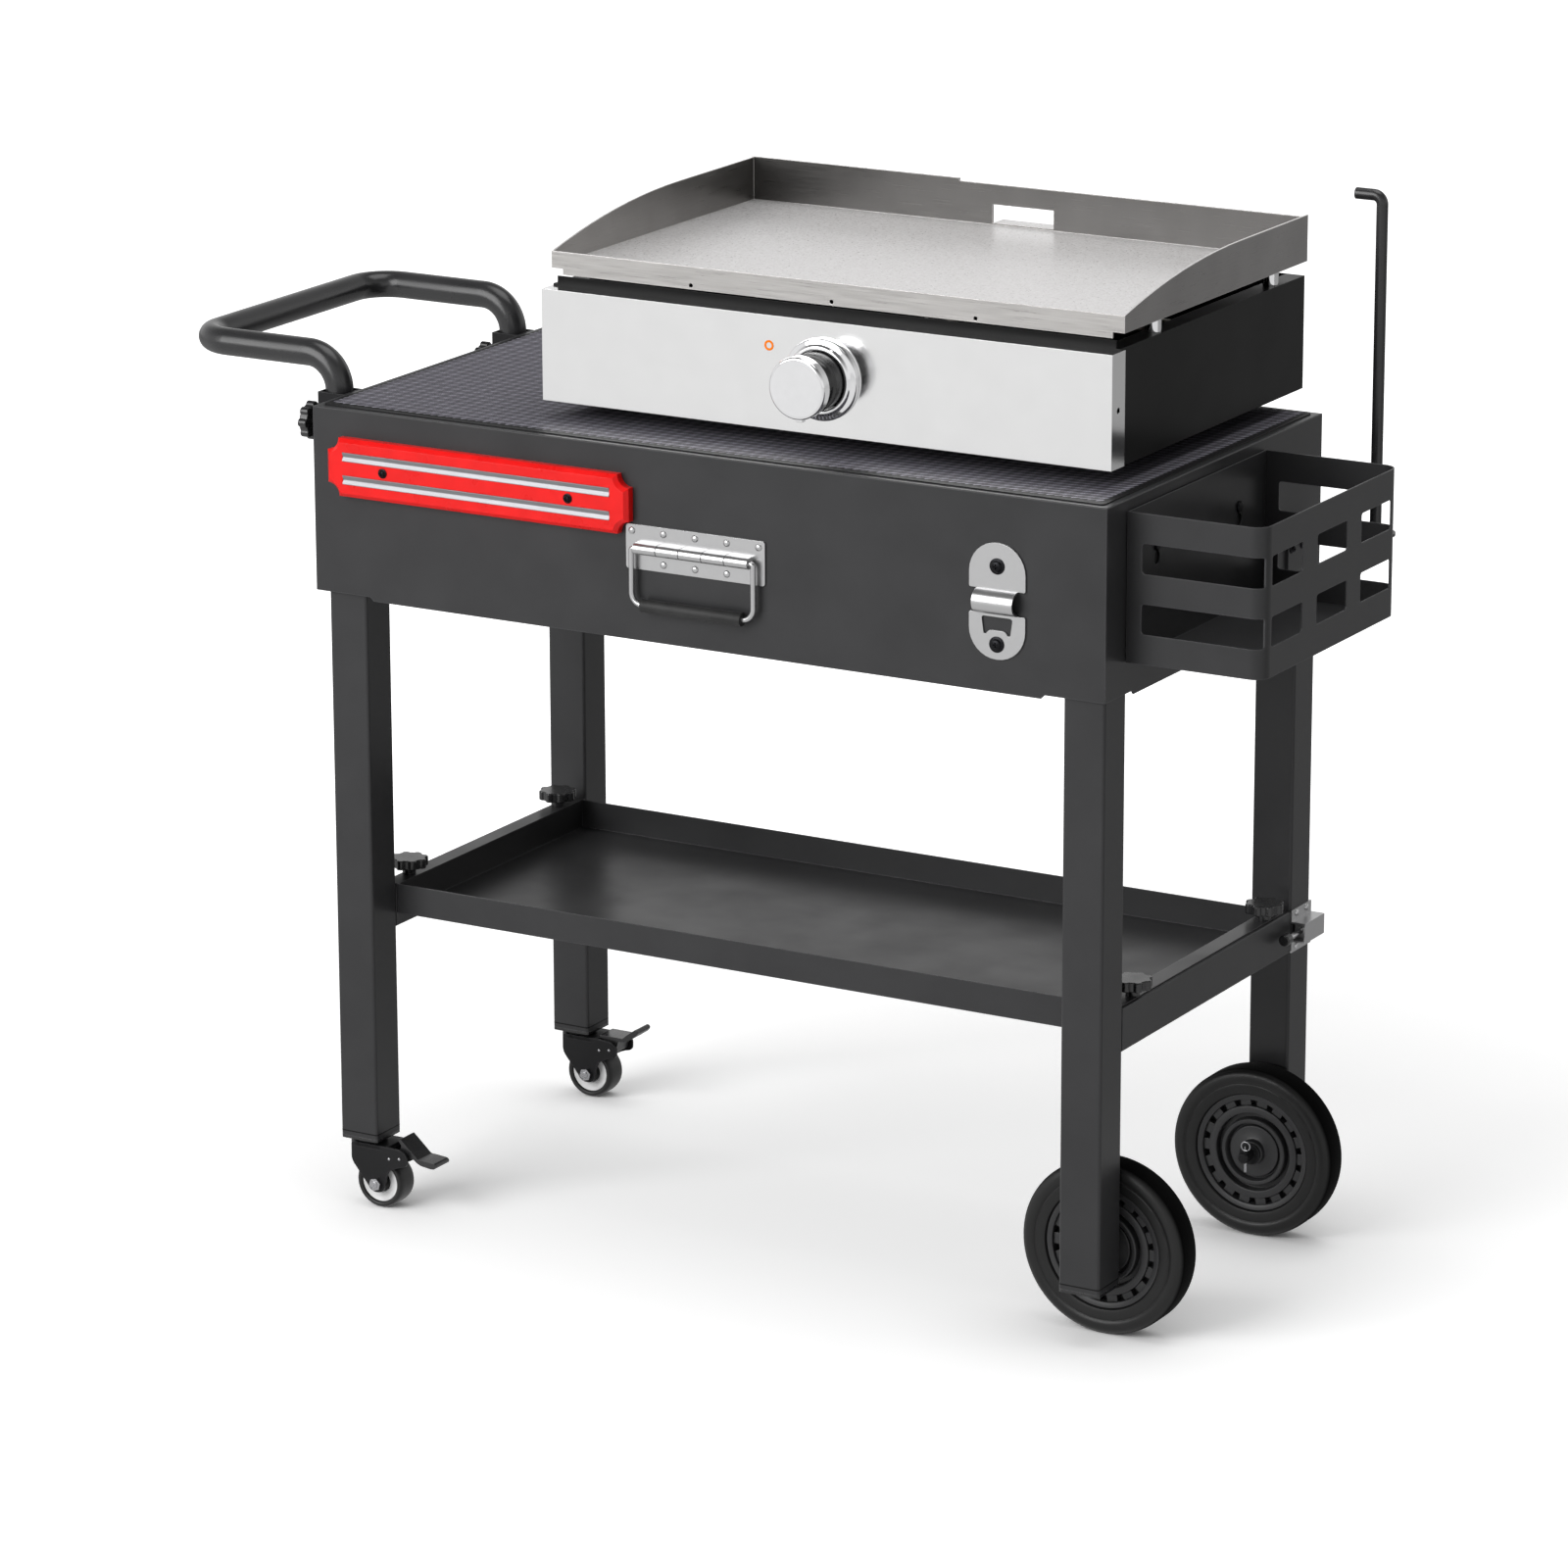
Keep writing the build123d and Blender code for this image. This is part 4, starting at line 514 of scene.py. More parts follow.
@dataclass(frozen=True)
class WovenMesh(Finish):
    """Vinyl-coated yarn: grey crowns over black gaps, in brighter and darker rows."""

    yarn: str = "#d0cddc"
    rise_mm: float = 0.55
    band_mm: float = 13.2
    band_low: float = 0.55
    fuzz_mm: float = 1.2

    def material(self) -> bpy.types.Material:
        """Yarn that pales towards the top of each crown."""
        mesh = Surface(self, Specular_IOR_Level=0.3)
        tree = mesh.tree
        where = add(tree, "SeparateXYZ", {0: mesh.place()}).outputs
        top = Space.of("mesh_mat").high.z
        crown = remap(tree, where[2], (top - self.rise_mm * MM, top), smooth=True)
        turn = reckon(tree, "MULTIPLY", where[0], math.tau / (self.band_mm * MM))
        bright = remap(tree, reckon(tree, "COSINE", turn), (-1.0, 1.0), (self.band_low, 1.0))
        fuzz = mesh.spread(mesh.grain(self.fuzz_mm), low=0.6)
        lit = reckon(tree, "MULTIPLY", reckon(tree, "MULTIPLY", crown, fuzz), bright)
        mesh.feed(Base_Color=mesh.tint(lit, self.colour, self.yarn))
        return mesh.material


FINISHES: dict[str, Finish] = {
    # Satin black powder on sheet and tube: even, soft highlights
    "black_steel": PowderCoat("powder_coated_steel", "#303031", 0.34, gloss=0.24),
    # Gloss black paint on bent tube and rod: deep tone with clear highlights
    "tube_paint": PowderCoat("gloss_painted_tube", "#252526", 0.28, gloss=0.45),
    # Vinyl mesh mat: dark gaps with grey crowns
    "mesh": WovenMesh("woven_vinyl_mesh", "#050506", 0.55),
    # Glossy red ABS: bright colour with clear reflections
    "red_plastic": MouldedPlastic("red_gloss_abs", "#de0e0d", 0.3, 3.0, 0.005, 0.04, 0.25),
    # Ground magnet bars: grey steel drawn lengthwise
    "magnet_steel": BareMetal("ground_magnet_steel", "#919194", 0.42, "#7f7f82", Run.ALONG_X),
    # Zinc plate on stamped steel: bright, slightly cloudy
    "zinc": BareMetal("bright_zinc_plate", "#b5b5b5", 0.3, "#b4b4b5", mark_mm=4.0, mark_depth=0.003,
                      spread_by=0.02),
    # Glass-filled nylon: black and glossy over a fine moulded grain
    "black_plastic": MouldedPlastic("moulded_black_nylon", "#1e1e1f", 0.26, gloss=0.55),
    # Black oxide screws: dark, oily gloss
    "black_screw": BareMetal("black_oxide_steel", "#2a2a2c", 0.35, "#1b1b1d", mark_mm=2.0),
    # Rubber sleeve and feet: matt black
    "grip_rubber": RubberSkin("black_grip_rubber", "#1c1c1c", 0.55),
    # Solid tyre: dark rubber with a little bloom, and painted shade on the tread
    "tyre": TyreRubber("solid_tyre_rubber", "#131313", 0.38, "#1b1b1b"),
    # Polypropylene rim: satin black moulding
    "rim_plastic": MouldedPlastic("moulded_black_polypropylene", "#2d2d2e", 0.4),
    # Zinc-plated bolts and pins
    "axle_steel": BareMetal("plated_bolt_steel", "#b9b9bb", 0.3, "#98989b", mark_mm=2.0),
    # Black electro-coat on pressed forks and brackets
    # Its fourth value is the paler edge colour: wear and painted highlight
    "fork_steel": PowderCoat("black_coated_pressings", "#1d1d1e", 0.36, "#4a4a4c"),
    # Caster tread: black polyurethane
    "caster_rubber": RubberSkin("caster_tread_rubber", "#1d1d1d", 0.42, "#2a2a2a"),
    # Caster core: pale grey polypropylene
    "hub_plastic": MouldedPlastic("pale_grey_polypropylene", "#dcdcdc", 0.4),
    # Polished stainless sheet: near-mirror with fine lines along its length
    "stainless": BareMetal("polished_stainless_sheet", "#e4e4e4", 0.14, "#dcdcdc", Run.ALONG_X,
                           spread_by=0.03, mark_depth=0.004),
    # Decorative chrome: mirror
    "chrome": BareMetal("mirror_chrome", "#e6e6e7", 0.07, "#dcdcdd", mark_mm=8.0, spread_by=0.02,
                        mark_depth=0.0, edge_mm=0.8),
    # Bare rolled steel of the cooking plate, with painted shade on its walls and painted highlight on its edges
    "plate_steel": CookingSteel("rolled_plate_steel", "#efeeee", 0.34),
    # Heat-proof black paint on the burner box
    # Its fourth value is the paler edge colour: wear and painted highlight
    "box_black": PowderCoat("black_heat_paint", "#0d0d0d", 0.34, "#262626", gloss=0.1),
    # Burner tube: stainless, a little dull
    "burner_steel": BareMetal("drawn_burner_tube", "#b8b4ae", 0.32, "#948e86", Run.ALONG_X),
    # Turned brass valve stem
    "stem_brass": BareMetal("turned_brass", "#c9a452", 0.28, "#a98538"),
    # Pressed aluminium cup
    "cup_alu": BareMetal("pressed_aluminium", "#c4c5c7", 0.34, "#a3a4a7", mark_mm=3.0),
    # Printed mark beside the knob: orange screen ink
    "mark_ink": MouldedPlastic("orange_screen_ink", "#f57a00", 0.6, 1.0, 0.01, gloss=0.1),
}
# Bent tubes and rods that are painted to a higher gloss than the sheet
PAINTED_TUBES = ("handle_tube", "towel_rod")


@dataclass
class Workshop:
    """Makes each material once and hands it out."""

    made: dict[str, bpy.types.Material] = field(default_factory=dict)

    def finish(self, slot: str) -> bpy.types.Material:
        """Material of a slot.

        Args:
            slot: Slot name in the record, or the name of another finish.

        Returns:
            The material, made on its first use.
        """
        if slot not in self.made:
            self.made[slot] = FINISHES[slot].material()
        return self.made[slot]

    def dress_nodes(self) -> None:
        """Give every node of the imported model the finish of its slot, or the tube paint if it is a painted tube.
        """
        for entry in frame["record"]["subparts"]:
            node = frame["nodes"][entry["node"]]
            node.data.materials.clear()
            slot = "tube_paint" if entry["node"] in PAINTED_TUBES else entry["material_slot"]
            node.data.materials.append(self.finish(slot))
            LOG.info("dressed %s as %s", entry["node"], slot)


class Facing(Enum):
    """Way in which the top of a flat or turned form looks; its second axis points up."""

    UP = ((1, 0, 0), (0, 1, 0), (0, 0, 1))
    FRONT = ((1, 0, 0), (0, 0, 1), (0, -1, 0))
    BACK = ((-1, 0, 0), (0, 0, 1), (0, 1, 0))
    RIGHT = ((0, 1, 0), (0, 0, 1), (1, 0, 0))

    def turn(self) -> Matrix:
        """Matrix from the form's own axes to the shared frame."""
        return Matrix(self.value).transposed().to_4x4()


class Shape:
    """A mesh under construction, placed in the shared frame."""

    def __init__(self) -> None:
        """Start empty."""
        self.whole = bmesh.new()

    def take(self, part: bmesh.types.BMesh, facing: Facing, at: Vector, tilt: float = 0.0) -> None:
        """Move a part from its own axes to its place and add it.

        Args:
            part: Part in its own axes, which is used up.
            facing: Way its top looks.
            at: Where its origin goes.
            tilt: Turn about its own third axis, in radians.
        """
        bmesh.ops.remove_doubles(part, verts=part.verts, dist=MERGE_M)
        bmesh.ops.recalc_face_normals(part, faces=part.faces)
        place = Matrix.Translation(at) @ facing.turn() @ Matrix.Rotation(tilt, 4, "Z")
        bmesh.ops.transform(part, matrix=place, verts=part.verts)
        mesh = bpy.data.meshes.new("part")
        part.to_mesh(mesh)
        part.free()
        self.whole.from_mesh(mesh)
        bpy.data.meshes.remove(mesh)

    def turned(self, profile: Sequence[Point], facing: Facing, at: Vector, closed: bool = False,
               steps: int = 72) -> None:
        """Spin a profile about the way it faces.

        Args:
            profile: Radius and height of each corner, in mm.
            facing: Way the axis points.
            at: Where height 0 of the axis is.
            closed: Whether the profile is a loop, as in a ring.
            steps: Sides of the round form.
        """
        part = bmesh.new()
        verts = [part.verts.new((radius * MM, 0, height * MM)) for radius, height in profile]
        ends = verts[1:] + (verts[:1] if closed else [])
        edges = [part.edges.new(pair) for pair in zip(verts, ends)]
        bmesh.ops.spin(part, geom=verts + edges, cent=(0, 0, 0), axis=(0, 0, 1), angle=math.tau,
                       steps=steps, use_merge=True)
        self.take(part, facing, at)

    def plate(self, loops: Iterable[tuple[Sequence[Point], float | Sequence[float]]], thick: float,
              facing: Facing, at: Vector, tilt: float = 0.0) -> None:
        """Cut a flat blank, with its holes, and give it a thickness.

        Args:
            loops: Corners of each edge in mm, and the radius of its corners, alike or one each.
            thick: Thickness in mm, towards the way it faces.
            facing: Way its face looks.
            at: Where its origin goes.
            tilt: Turn in its own plane, in radians.
        """
        part = bmesh.new()
        for corners, rounds in loops:
            verts = [part.verts.new((x * MM, y * MM, 0)) for x, y in corners]
            part.faces.new(verts)
            radii = [rounds] * len(verts) if isinstance(rounds, (int, float)) else list(rounds)
            for radius in sorted(set(radii) - {0}):
                chosen = [vert for vert, own in zip(verts, radii) if own == radius]
                bmesh.ops.bevel(part, geom=chosen, offset=radius * MM, offset_type="OFFSET",
                                affect="VERTICES", segments=8, profile=0.5, material=-1)
        bmesh.ops.delete(part, geom=list(part.faces), context="FACES_ONLY")
        bmesh.ops.triangle_fill(part, edges=list(part.edges), use_beauty=True)
        grown = bmesh.ops.extrude_face_region(part, geom=list(part.faces))
        moved = [item for item in grown["geom"] if isinstance(item, bmesh.types.BMVert)]
        bmesh.ops.translate(part, vec=(0, 0, thick * MM), verts=moved)
        self.take(part, facing, at, tilt)

    def block(self, size: Sequence[float], facing: Facing, at: Vector, tilt: float = 0.0,
              off: Sequence[float] = (0, 0, 0)) -> None:
        """Add a small block, turned about the way it faces.

        Args:
            size: Sides in mm in its own axes.
            facing: Way its third axis points.
            at: Where its origin goes.
            tilt: Turn about its third axis, in radians.
            off: Its centre from that origin in mm, before the turn.
        """
        part = bmesh.new()
        bmesh.ops.create_cube(part, size=1)
        bmesh.ops.scale(part, vec=[side * MM for side in size], verts=part.verts)
        bmesh.ops.translate(part, vec=[way * MM for way in off], verts=part.verts)
        self.take(part, facing, at, tilt)

    def copy_of(self, mesh: bpy.types.Mesh, facing: Facing, at: Vector) -> None:
        """Add a finished small mesh at a place.

        Args:
            mesh: Mesh in its own axes.
            facing: Way its top looks.
            at: Where its origin goes.
        """
        part = bmesh.new()
        part.from_mesh(mesh)
        self.take(part, facing, at)

    def mesh(self, name: str) -> bpy.types.Mesh:
        """Turn what was built into a mesh, which ends the construction.

        Args:
            name: Mesh name.

        Returns:
            The mesh.
        """
        mesh = bpy.data.meshes.new(name)
        self.whole.to_mesh(mesh)
        self.whole.free()
        return mesh

    def place(self, shop: Workshop, name: str, slot: str, body: str, replaces: Sequence[str] = (),
              edge_mm: float = 0.0, steps: int = 3, crease_deg: float = 32, finish: str = "") -> bpy.types.Object:
        """Make the finished piece and tie it to its body.

        Args:
            shop: Source of materials.
            name: Piece name.
            slot: Record slot of its finish.
            body: Body that it rides on.
            replaces: Nodes that it stands for.
            edge_mm: Radius of its rounded edges.
            steps: Segments of a rounded edge.
            crease_deg: Angle from which an edge shows as sharp.
            finish: Finish, where it isn't the slot's own.

        Returns:
            The piece.
        """
        mesh = self.mesh(name)
        mesh.shade_smooth()
        mesh.set_sharp_from_angle(angle=math.radians(crease_deg))
        piece = bpy.data.objects.new(name, mesh)
        bpy.context.scene.collection.objects.link(piece)
        mesh.materials.append(shop.finish(finish or slot))
        if edge_mm:
            bevel = piece.modifiers.new("rounded_edges", "BEVEL")
            bevel.width = edge_mm * MM
            bevel.segments = steps
            bevel.limit_method = "ANGLE"
            bevel.angle_limit = math.radians(crease_deg)
            bevel.harden_normals = True
        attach(piece, body)
        if replaces:
            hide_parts(*replaces)
        LOG.info("made %s, %d faces, on %s", name, len(mesh.polygons), body)
        return piece


def mirrored(half: Sequence[Point]) -> list[Point]:
    """Profile of a form that is alike on both faces.

    Args:
        half: Radius and height of each corner on the upper face, from the inside out.

    Returns:
        The whole loop.
    """
    return list(half) + [(radius, -height) for radius, height in reversed(half) if height]


def rectangle(half_x: float, half_y: float) -> list[Point]:
    """Corners of a rectangle round the origin.

    Args:
        half_x: Half its width in mm.
        half_y: Half its height in mm.

    Returns:
        The four corners.
    """
    return [(-half_x, -half_y), (half_x, -half_y), (half_x, half_y), (-half_x, half_y)]


def arc(radius: float, start: float, end: float, count: int, middle: Point = (0, 0)) -> list[Point]:
    """Points along an arc.

    Args:
        radius: Radius in mm.
        start: First angle in degrees.
        end: Last angle in degrees.
        count: Number of steps.
        middle: Centre of the arc.

    Returns:
        The points, both ends included.
    """
    angles = [math.radians(start + (end - start) * step / count) for step in range(count + 1)]
    return [(middle[0] + radius * math.cos(angle), middle[1] + radius * math.sin(angle)) for angle in angles]


@dataclass
class MeshMat:
    """Woven mat that lies on the worktop: a dark backing under rows of yarn crowns."""

    corner_mm: float = 5
    slack_mm: float = 0.1
    backing_mm: float = 1.2
    sink_mm: float = 0.1
    step_mm: float = 4.4
    edge_in_mm: float = 1.6

    def weave(self, across: float, along: float, high: float) -> bmesh.types.BMesh:
        """Weave a grid in which every other knot stands up as a crown.

        Args:
            across: Half the mat's width in mm.
            along: Half its depth.
            high: Height of a crown.

        Returns:
            The grid in the mat's own axes.
        """
        grid = bmesh.new()
        columns, rows = (int(2 * (half - self.edge_in_mm) / self.step_mm) for half in (across, along))
        bmesh.ops.create_grid(grid, x_segments=columns, y_segments=rows, size=0.5)
        bmesh.ops.scale(grid, vec=(columns * self.step_mm * MM, rows * self.step_mm * MM, 1), verts=grid.verts)
        low = self.backing_mm - self.sink_mm
        for vert in grid.verts:
            column, row = (round(way / (self.step_mm * MM) + 0.5 * count) for way, count in
                           ((vert.co.x, columns), (vert.co.y, rows)))
            raised = (column + row) % 2 and 0 < column < columns and 0 < row < rows
            vert.co.z = (high if raised else low) * MM
        return grid

    def build(self, shop: Workshop) -> None:
        """Cut the backing to the roof, weave the crowns over it and lay the mat down."""
        space = Space.of("mesh_mat")
        across, along = space.size.x / MM / 2, space.size.y / MM / 2
        seat = space.at(z=space.low.z + self.slack_mm * MM)
        shape, crowns = Shape(), Shape()
        shape.plate([(rectangle(across, along), self.corner_mm)], self.backing_mm, Facing.UP, seat)
        crowns.take(self.weave(across, along, space.size.z / MM - self.slack_mm), Facing.UP, seat)
        mat = shape.place(shop, "worktop_mat", "mesh", "cart", ["mesh_mat"], edge_mm=0.4)
        yarn = crowns.place(shop, "worktop_weave", "mesh", "cart", crease_deg=180)


@dataclass
class RoadWheel:
    """Large wheel: a solid tyre on a rim with rings and a ring of slots."""

    where: str
    tyre_half: tuple[Point, ...] = (
        (62.1, 14.4), (63.4, 16.2), (66, 16.8), (72.8, 17.0), (73.4, 16.6), (74.2, 16.6), (75, 17.3),
        (78, 18.0), (81.6, 17.9), (84.6, 17.1), (87, 15.4), (88.5, 13.2), (89, 11), (89, 0))
    rim_half: tuple[Point, ...] = (
        (6.1, 16.4), (11.5, 16.4), (12.6, 15.4), (13, 10.2), (15, 9.2), (26.4, 9.0), (27.2, 8.4), (27.6, 5.4),
        (29.2, 5.4), (30, 10.6), (31.2, 12.2), (34.4, 12.4), (35.6, 11.2), (36.2, 3.6), (40.6, 3.6),
        (41.2, 11.4), (42.2, 12.2), (48.4, 12.6), (49.3, 12.2), (49.6, 2.4), (55.8, 2.4), (56.1, 13.2),
        (57, 13.8), (61.9, 14.3))
    slot_count: int = 18
    bar_size: Point = (6.6, 11.6)
    bar_ring: float = 52.7
    bar_low: float = 2.0
    bar_high: float = 10.6

    def build(self, shop: Workshop) -> None:
        """Spin the tyre and the rim and set the bars between the slots."""
        middle = Space.of(f"wheel_tyre_{self.where}").middle
        body = f"wheel_{self.where}"
        tyre, rim = Shape(), Shape()
        tyre.turned(mirrored(self.tyre_half), Facing.FRONT, middle, closed=True, steps=128)
        tyre.place(shop, f"road_tyre_{self.where}", "tyre", body, [f"wheel_tyre_{self.where}"], edge_mm=0.5, steps=2)
        rim.turned(mirrored(self.rim_half), Facing.FRONT, middle, closed=True, steps=96)
        for side in (Facing.FRONT, Facing.BACK):
            for bar in range(self.slot_count):
                rim.block((*self.bar_size, self.bar_high - self.bar_low), side, middle,
                          math.tau * bar / self.slot_count,
                          (self.bar_ring, 0, (self.bar_high + self.bar_low) / 2))
        rim.place(shop, f"road_rim_{self.where}", "rim_plastic", body, [f"wheel_rim_{self.where}"],
                  edge_mm=0.4, steps=2)


@dataclass
class StubAxles:
    """Axles of the large wheels with their washers and split pins, and the races over the casters."""

    axle_r: float = 6
    chamfer: float = 1.5
    out: float = 56.4
    washer_r: float = 11.5
    washer_t: float = 1.5
    washer_gap: float = 0.1
    washer_from_end: float = 18.2
    pin_from_end: float = 8
    pin_wire: float = 0.8
    eye_r: float = 4.8
    prong_r: float = 0.72
    prong_down: float = 17
    prong_long: float = 26
    prong_tip: float = 0.4
    prong_uneven: float = 2
    race_r: float = 17
    race_t: float = 4
    race_edge: float = 1
    race_gap: float = 0.3

    def axle(self, steel: Shape, facing: Facing, seat: Vector) -> None:
        """Turn an axle and its two washers.

        Args:
            steel: Shape that gets them.
            facing: Way the axle points.
            seat: Where it leaves the leg.
        """
        thin, end = self.axle_r - self.chamfer, self.out
        steel.turned([(0, 0), (self.axle_r, 0), (self.axle_r, end - self.chamfer), (thin, end), (0, end)],
                     facing, seat, steps=40)
        for low in (self.washer_gap, end - self.washer_from_end):
            high = low + self.washer_t
            steel.turned([(self.axle_r, low), (self.washer_r, low), (self.washer_r, high), (self.axle_r, high)],
                         facing, seat, closed=True, steps=48)

    def split_pin(self, pins: Shape, through: Vector) -> None:
        """Bend a pin: an eye above the axle and two prongs through it.

        Args:
            pins: Shape that gets it.
            through: Where it crosses the axle.
        """
        eye = through + Vector((0, 0, (self.axle_r + self.eye_r) * MM))
        wire = arc(self.pin_wire, start=0, end=330, count=11, middle=(self.eye_r, 0))
        pins.turned(wire, Facing.FRONT, eye, closed=True, steps=36)
        for side in (-1, 1):
            foot = through + Vector((side * self.prong_r * MM, 0, -self.prong_down * MM))
            top = self.prong_long - self.prong_uneven * side
            pins.turned([(0, 0), (self.prong_r, self.prong_tip), (self.prong_r, top), (0, self.prong_long)],
                        Facing.UP, foot, steps=14)

    def build(self, shop: Workshop) -> None:
        """Make the axles, then the bright pins through their ends, then the races."""
        steel, pins = Shape(), Shape()
        for where, facing in (("front", Facing.BACK), ("back", Facing.FRONT)):
            leg = Space.of(f"leg_{where}_right")
            way = facing.value[2][1]
            seat = Space.of(f"wheel_tyre_{where}").at(y=leg.high.y if way > 0 else leg.low.y)
            self.axle(steel, facing, seat)
            self.split_pin(pins, seat + Vector((0, way * (self.out - self.pin_from_end) * MM, 0)))
        race = [(0, 0), (self.race_r - self.race_edge, 0), (self.race_r, self.race_edge),
                (self.race_r, self.race_t), (0, self.race_t)]
        for where in ("front", "back"):
            low = Space.of(f"caster_fork_{where}").high.z + self.race_gap * MM
            steel.turned(race, Facing.UP, Space.of(f"leg_{where}_left").at(z=low), steps=64)
        steel.place(shop, "axles_and_races", "fork_steel", "cart", ["axles"], edge_mm=0.3, steps=2)
        pins.place(shop, "split_pins", "axle_steel", "cart")


@dataclass
class Caster:
    """Swivel caster with a pressed fork, a pale-cored wheel and a brake pedal."""

    where: str
    pressed: float
    cheek: tuple[Point, ...] = (
        (-13, 69.2), (-13, 49), (7, 24.5), (9.5, 20.2), (17.5, 17.2), (25.5, 20.2), (27.6, 25), (31, 42),
        (44, 48.8), (55.2, 51.5), (55.2, 64), (47, 68.2), (31, 69.2))
    cheek_rounds: tuple[float, ...] = (3, 5, 2, 3, 4, 3, 2, 4, 4, 4, 3.5, 3, 2)
    cheek_t: float = 2.5
    gap: float = 15.5
    top: tuple[Point, ...] = ((-17, -18), (31, -18), (31, 18), (-17, 18))
    top_round: float = 9
    top_z: Point = (65, 69.2)
    tyre_half: tuple[Point, ...] = (
        (21.05, 11.4), (21.9, 12.8), (23.6, 13.7), (25.6, 13.3), (26.7, 12.0), (27.3, 9.0), (27.5, 5.0))
    core_half: tuple[Point, ...] = (
        (10.4, 7.0), (10.8, 8.6), (12.0, 9.6), (18.6, 10.2), (19.6, 10.9), (21.0, 11.2))
    cover_half: tuple[Point, ...] = ((4.1, 12.0), (6.6, 12.0), (7.2, 8.4), (10.3, 7.6))
    pedal: tuple[Point, ...] = (
        (-4.6, -4.2), (0, -6), (4.6, -4.2), (6.2, 1), (9, 9.8), (15.5, 10.2), (20.5, 11.8), (31, 19), (34, 22.6),
        (33.4, 25.6), (30, 26.4), (19.4, 18.4), (14, 14), (-15, 14), (-15, 10.6), (-9, 9.8), (-6, 1))
    pedal_w: float = 26
    pedal_round: float = 1.2
    pivot: Point = (46, 59)
    pin_r: float = 1.6
    rivets: tuple[Point, ...] = ((33.5, 57), (46, 59))
    rivet: tuple[Point, ...] = ((1.7, -0.2), (1.7, 0.3), (1.2, 0.9), (0.6, 1.1), (0, 1.2))
    nut_r: float = 7
    nut_t: float = 4.6
    bolt_r: float = 4
    bolt_end: tuple[Point, ...] = ((0, 0), (3.9, 0), (3.9, 5.2), (3.2, 5.8), (0, 5.8))

    def fork(self, shop: Workshop, foot: Vector) -> None:
        """Press the fork: two cheeks under a plate.

        Args:
            shop: Source of materials.
            foot: Point on the floor below the swivel.
        """
        shape = Shape()
        for front in (-self.gap - self.cheek_t, self.gap):
            seat = foot + Vector((0, (front + self.cheek_t) * MM, 0))
            shape.plate([(self.cheek, self.cheek_rounds)], self.cheek_t, Facing.FRONT, seat)
        shape.plate([(self.top, self.top_round)], self.top_z[1] - self.top_z[0], Facing.UP,
                    foot + Vector((0, 0, self.top_z[0] * MM)))
        shape.place(shop, f"caster_fork_pressing_{self.where}", "fork_steel", f"caster_{self.where}",
                    [f"caster_fork_{self.where}"], edge_mm=0.7, steps=3)

    def pins(self, shop: Workshop, foot: Vector, hub: Vector) -> None:
        """Add the axle bolt with its nuts, the pin of the pedal and the rivets.

        Args:
            shop: Source of materials.
            foot: Point on the floor below the swivel.
            hub: Centre of the wheel.
        """
        shape = Shape()
        reach = self.gap + self.cheek_t
        six = arc(self.nut_r, start=15, end=315, count=5)
        for facing in (Facing.FRONT, Facing.BACK):
            face = foot.y + facing.value[2][1] * reach * MM
            at = Vector((hub.x, face, hub.z))
            shape.plate([(six, 0)], self.nut_t, facing, at)
            shape.turned(self.bolt_end, facing, at, steps=24)
            for x, z in self.rivets:
                shape.turned(self.rivet, facing, Vector((foot.x + x * MM, face, z * MM)), steps=20)
        pivot = foot + Vector((self.pivot[0] * MM, 0, self.pivot[1] * MM))
        for radius, at, steps in ((self.bolt_r, hub, 28), (self.pin_r, pivot, 24)):
            rod = [(0, -reach), (radius, -reach), (radius, reach), (0, reach)]
            shape.turned(rod, Facing.BACK, at, steps=steps)
        shape.place(shop, f"caster_bolts_{self.where}", "axle_steel", f"caster_{self.where}",
                    [f"caster_pins_{self.where}"], edge_mm=0.4, steps=2)

    def wheel(self, shop: Workshop, hub: Vector) -> None:
        """Spin the tread, the pale core and the dark bearing covers.

        Args:
            shop: Source of materials.
            hub: Centre of the wheel.
        """
        for name, half, steps, slot, node, edge in (
                ("tread", self.tyre_half, 80, "caster_rubber", "tyre", 0.4),
                ("core", self.core_half, 64, "hub_plastic", "hub", 0.3),
                ("covers", self.cover_half, 48, "caster_rubber", "", 0.3)):
            shape = Shape()
            shape.turned(mirrored(half), Facing.FRONT, hub, closed=True, steps=steps)
            shape.place(shop, f"caster_{name}_{self.where}", slot, f"caster_wheel_{self.where}",
                        [f"caster_{node}_{self.where}"] if node else (), edge_mm=edge, steps=2)

    def build(self, shop: Workshop) -> None:
        """Make the whole caster at its leg."""
        foot = Space.of(f"leg_{self.where}_left").at(z=0)
        hub = Space.of(f"caster_tyre_{self.where}").middle
        self.fork(shop, foot)
        self.pins(shop, foot, hub)
        self.wheel(shop, hub)
        brake = Shape()
        pivot = foot + Vector((self.pivot[0] * MM, self.pedal_w / 2 * MM, self.pivot[1] * MM))
        brake.plate([(self.pedal, self.pedal_round)], self.pedal_w, Facing.FRONT, pivot,
                    -math.radians(self.pressed))
        brake.place(shop, f"brake_foot_{self.where}", "black_plastic", f"brake_pedal_{self.where}",
                    [f"caster_pedal_{self.where}"], edge_mm=1.0, steps=3)


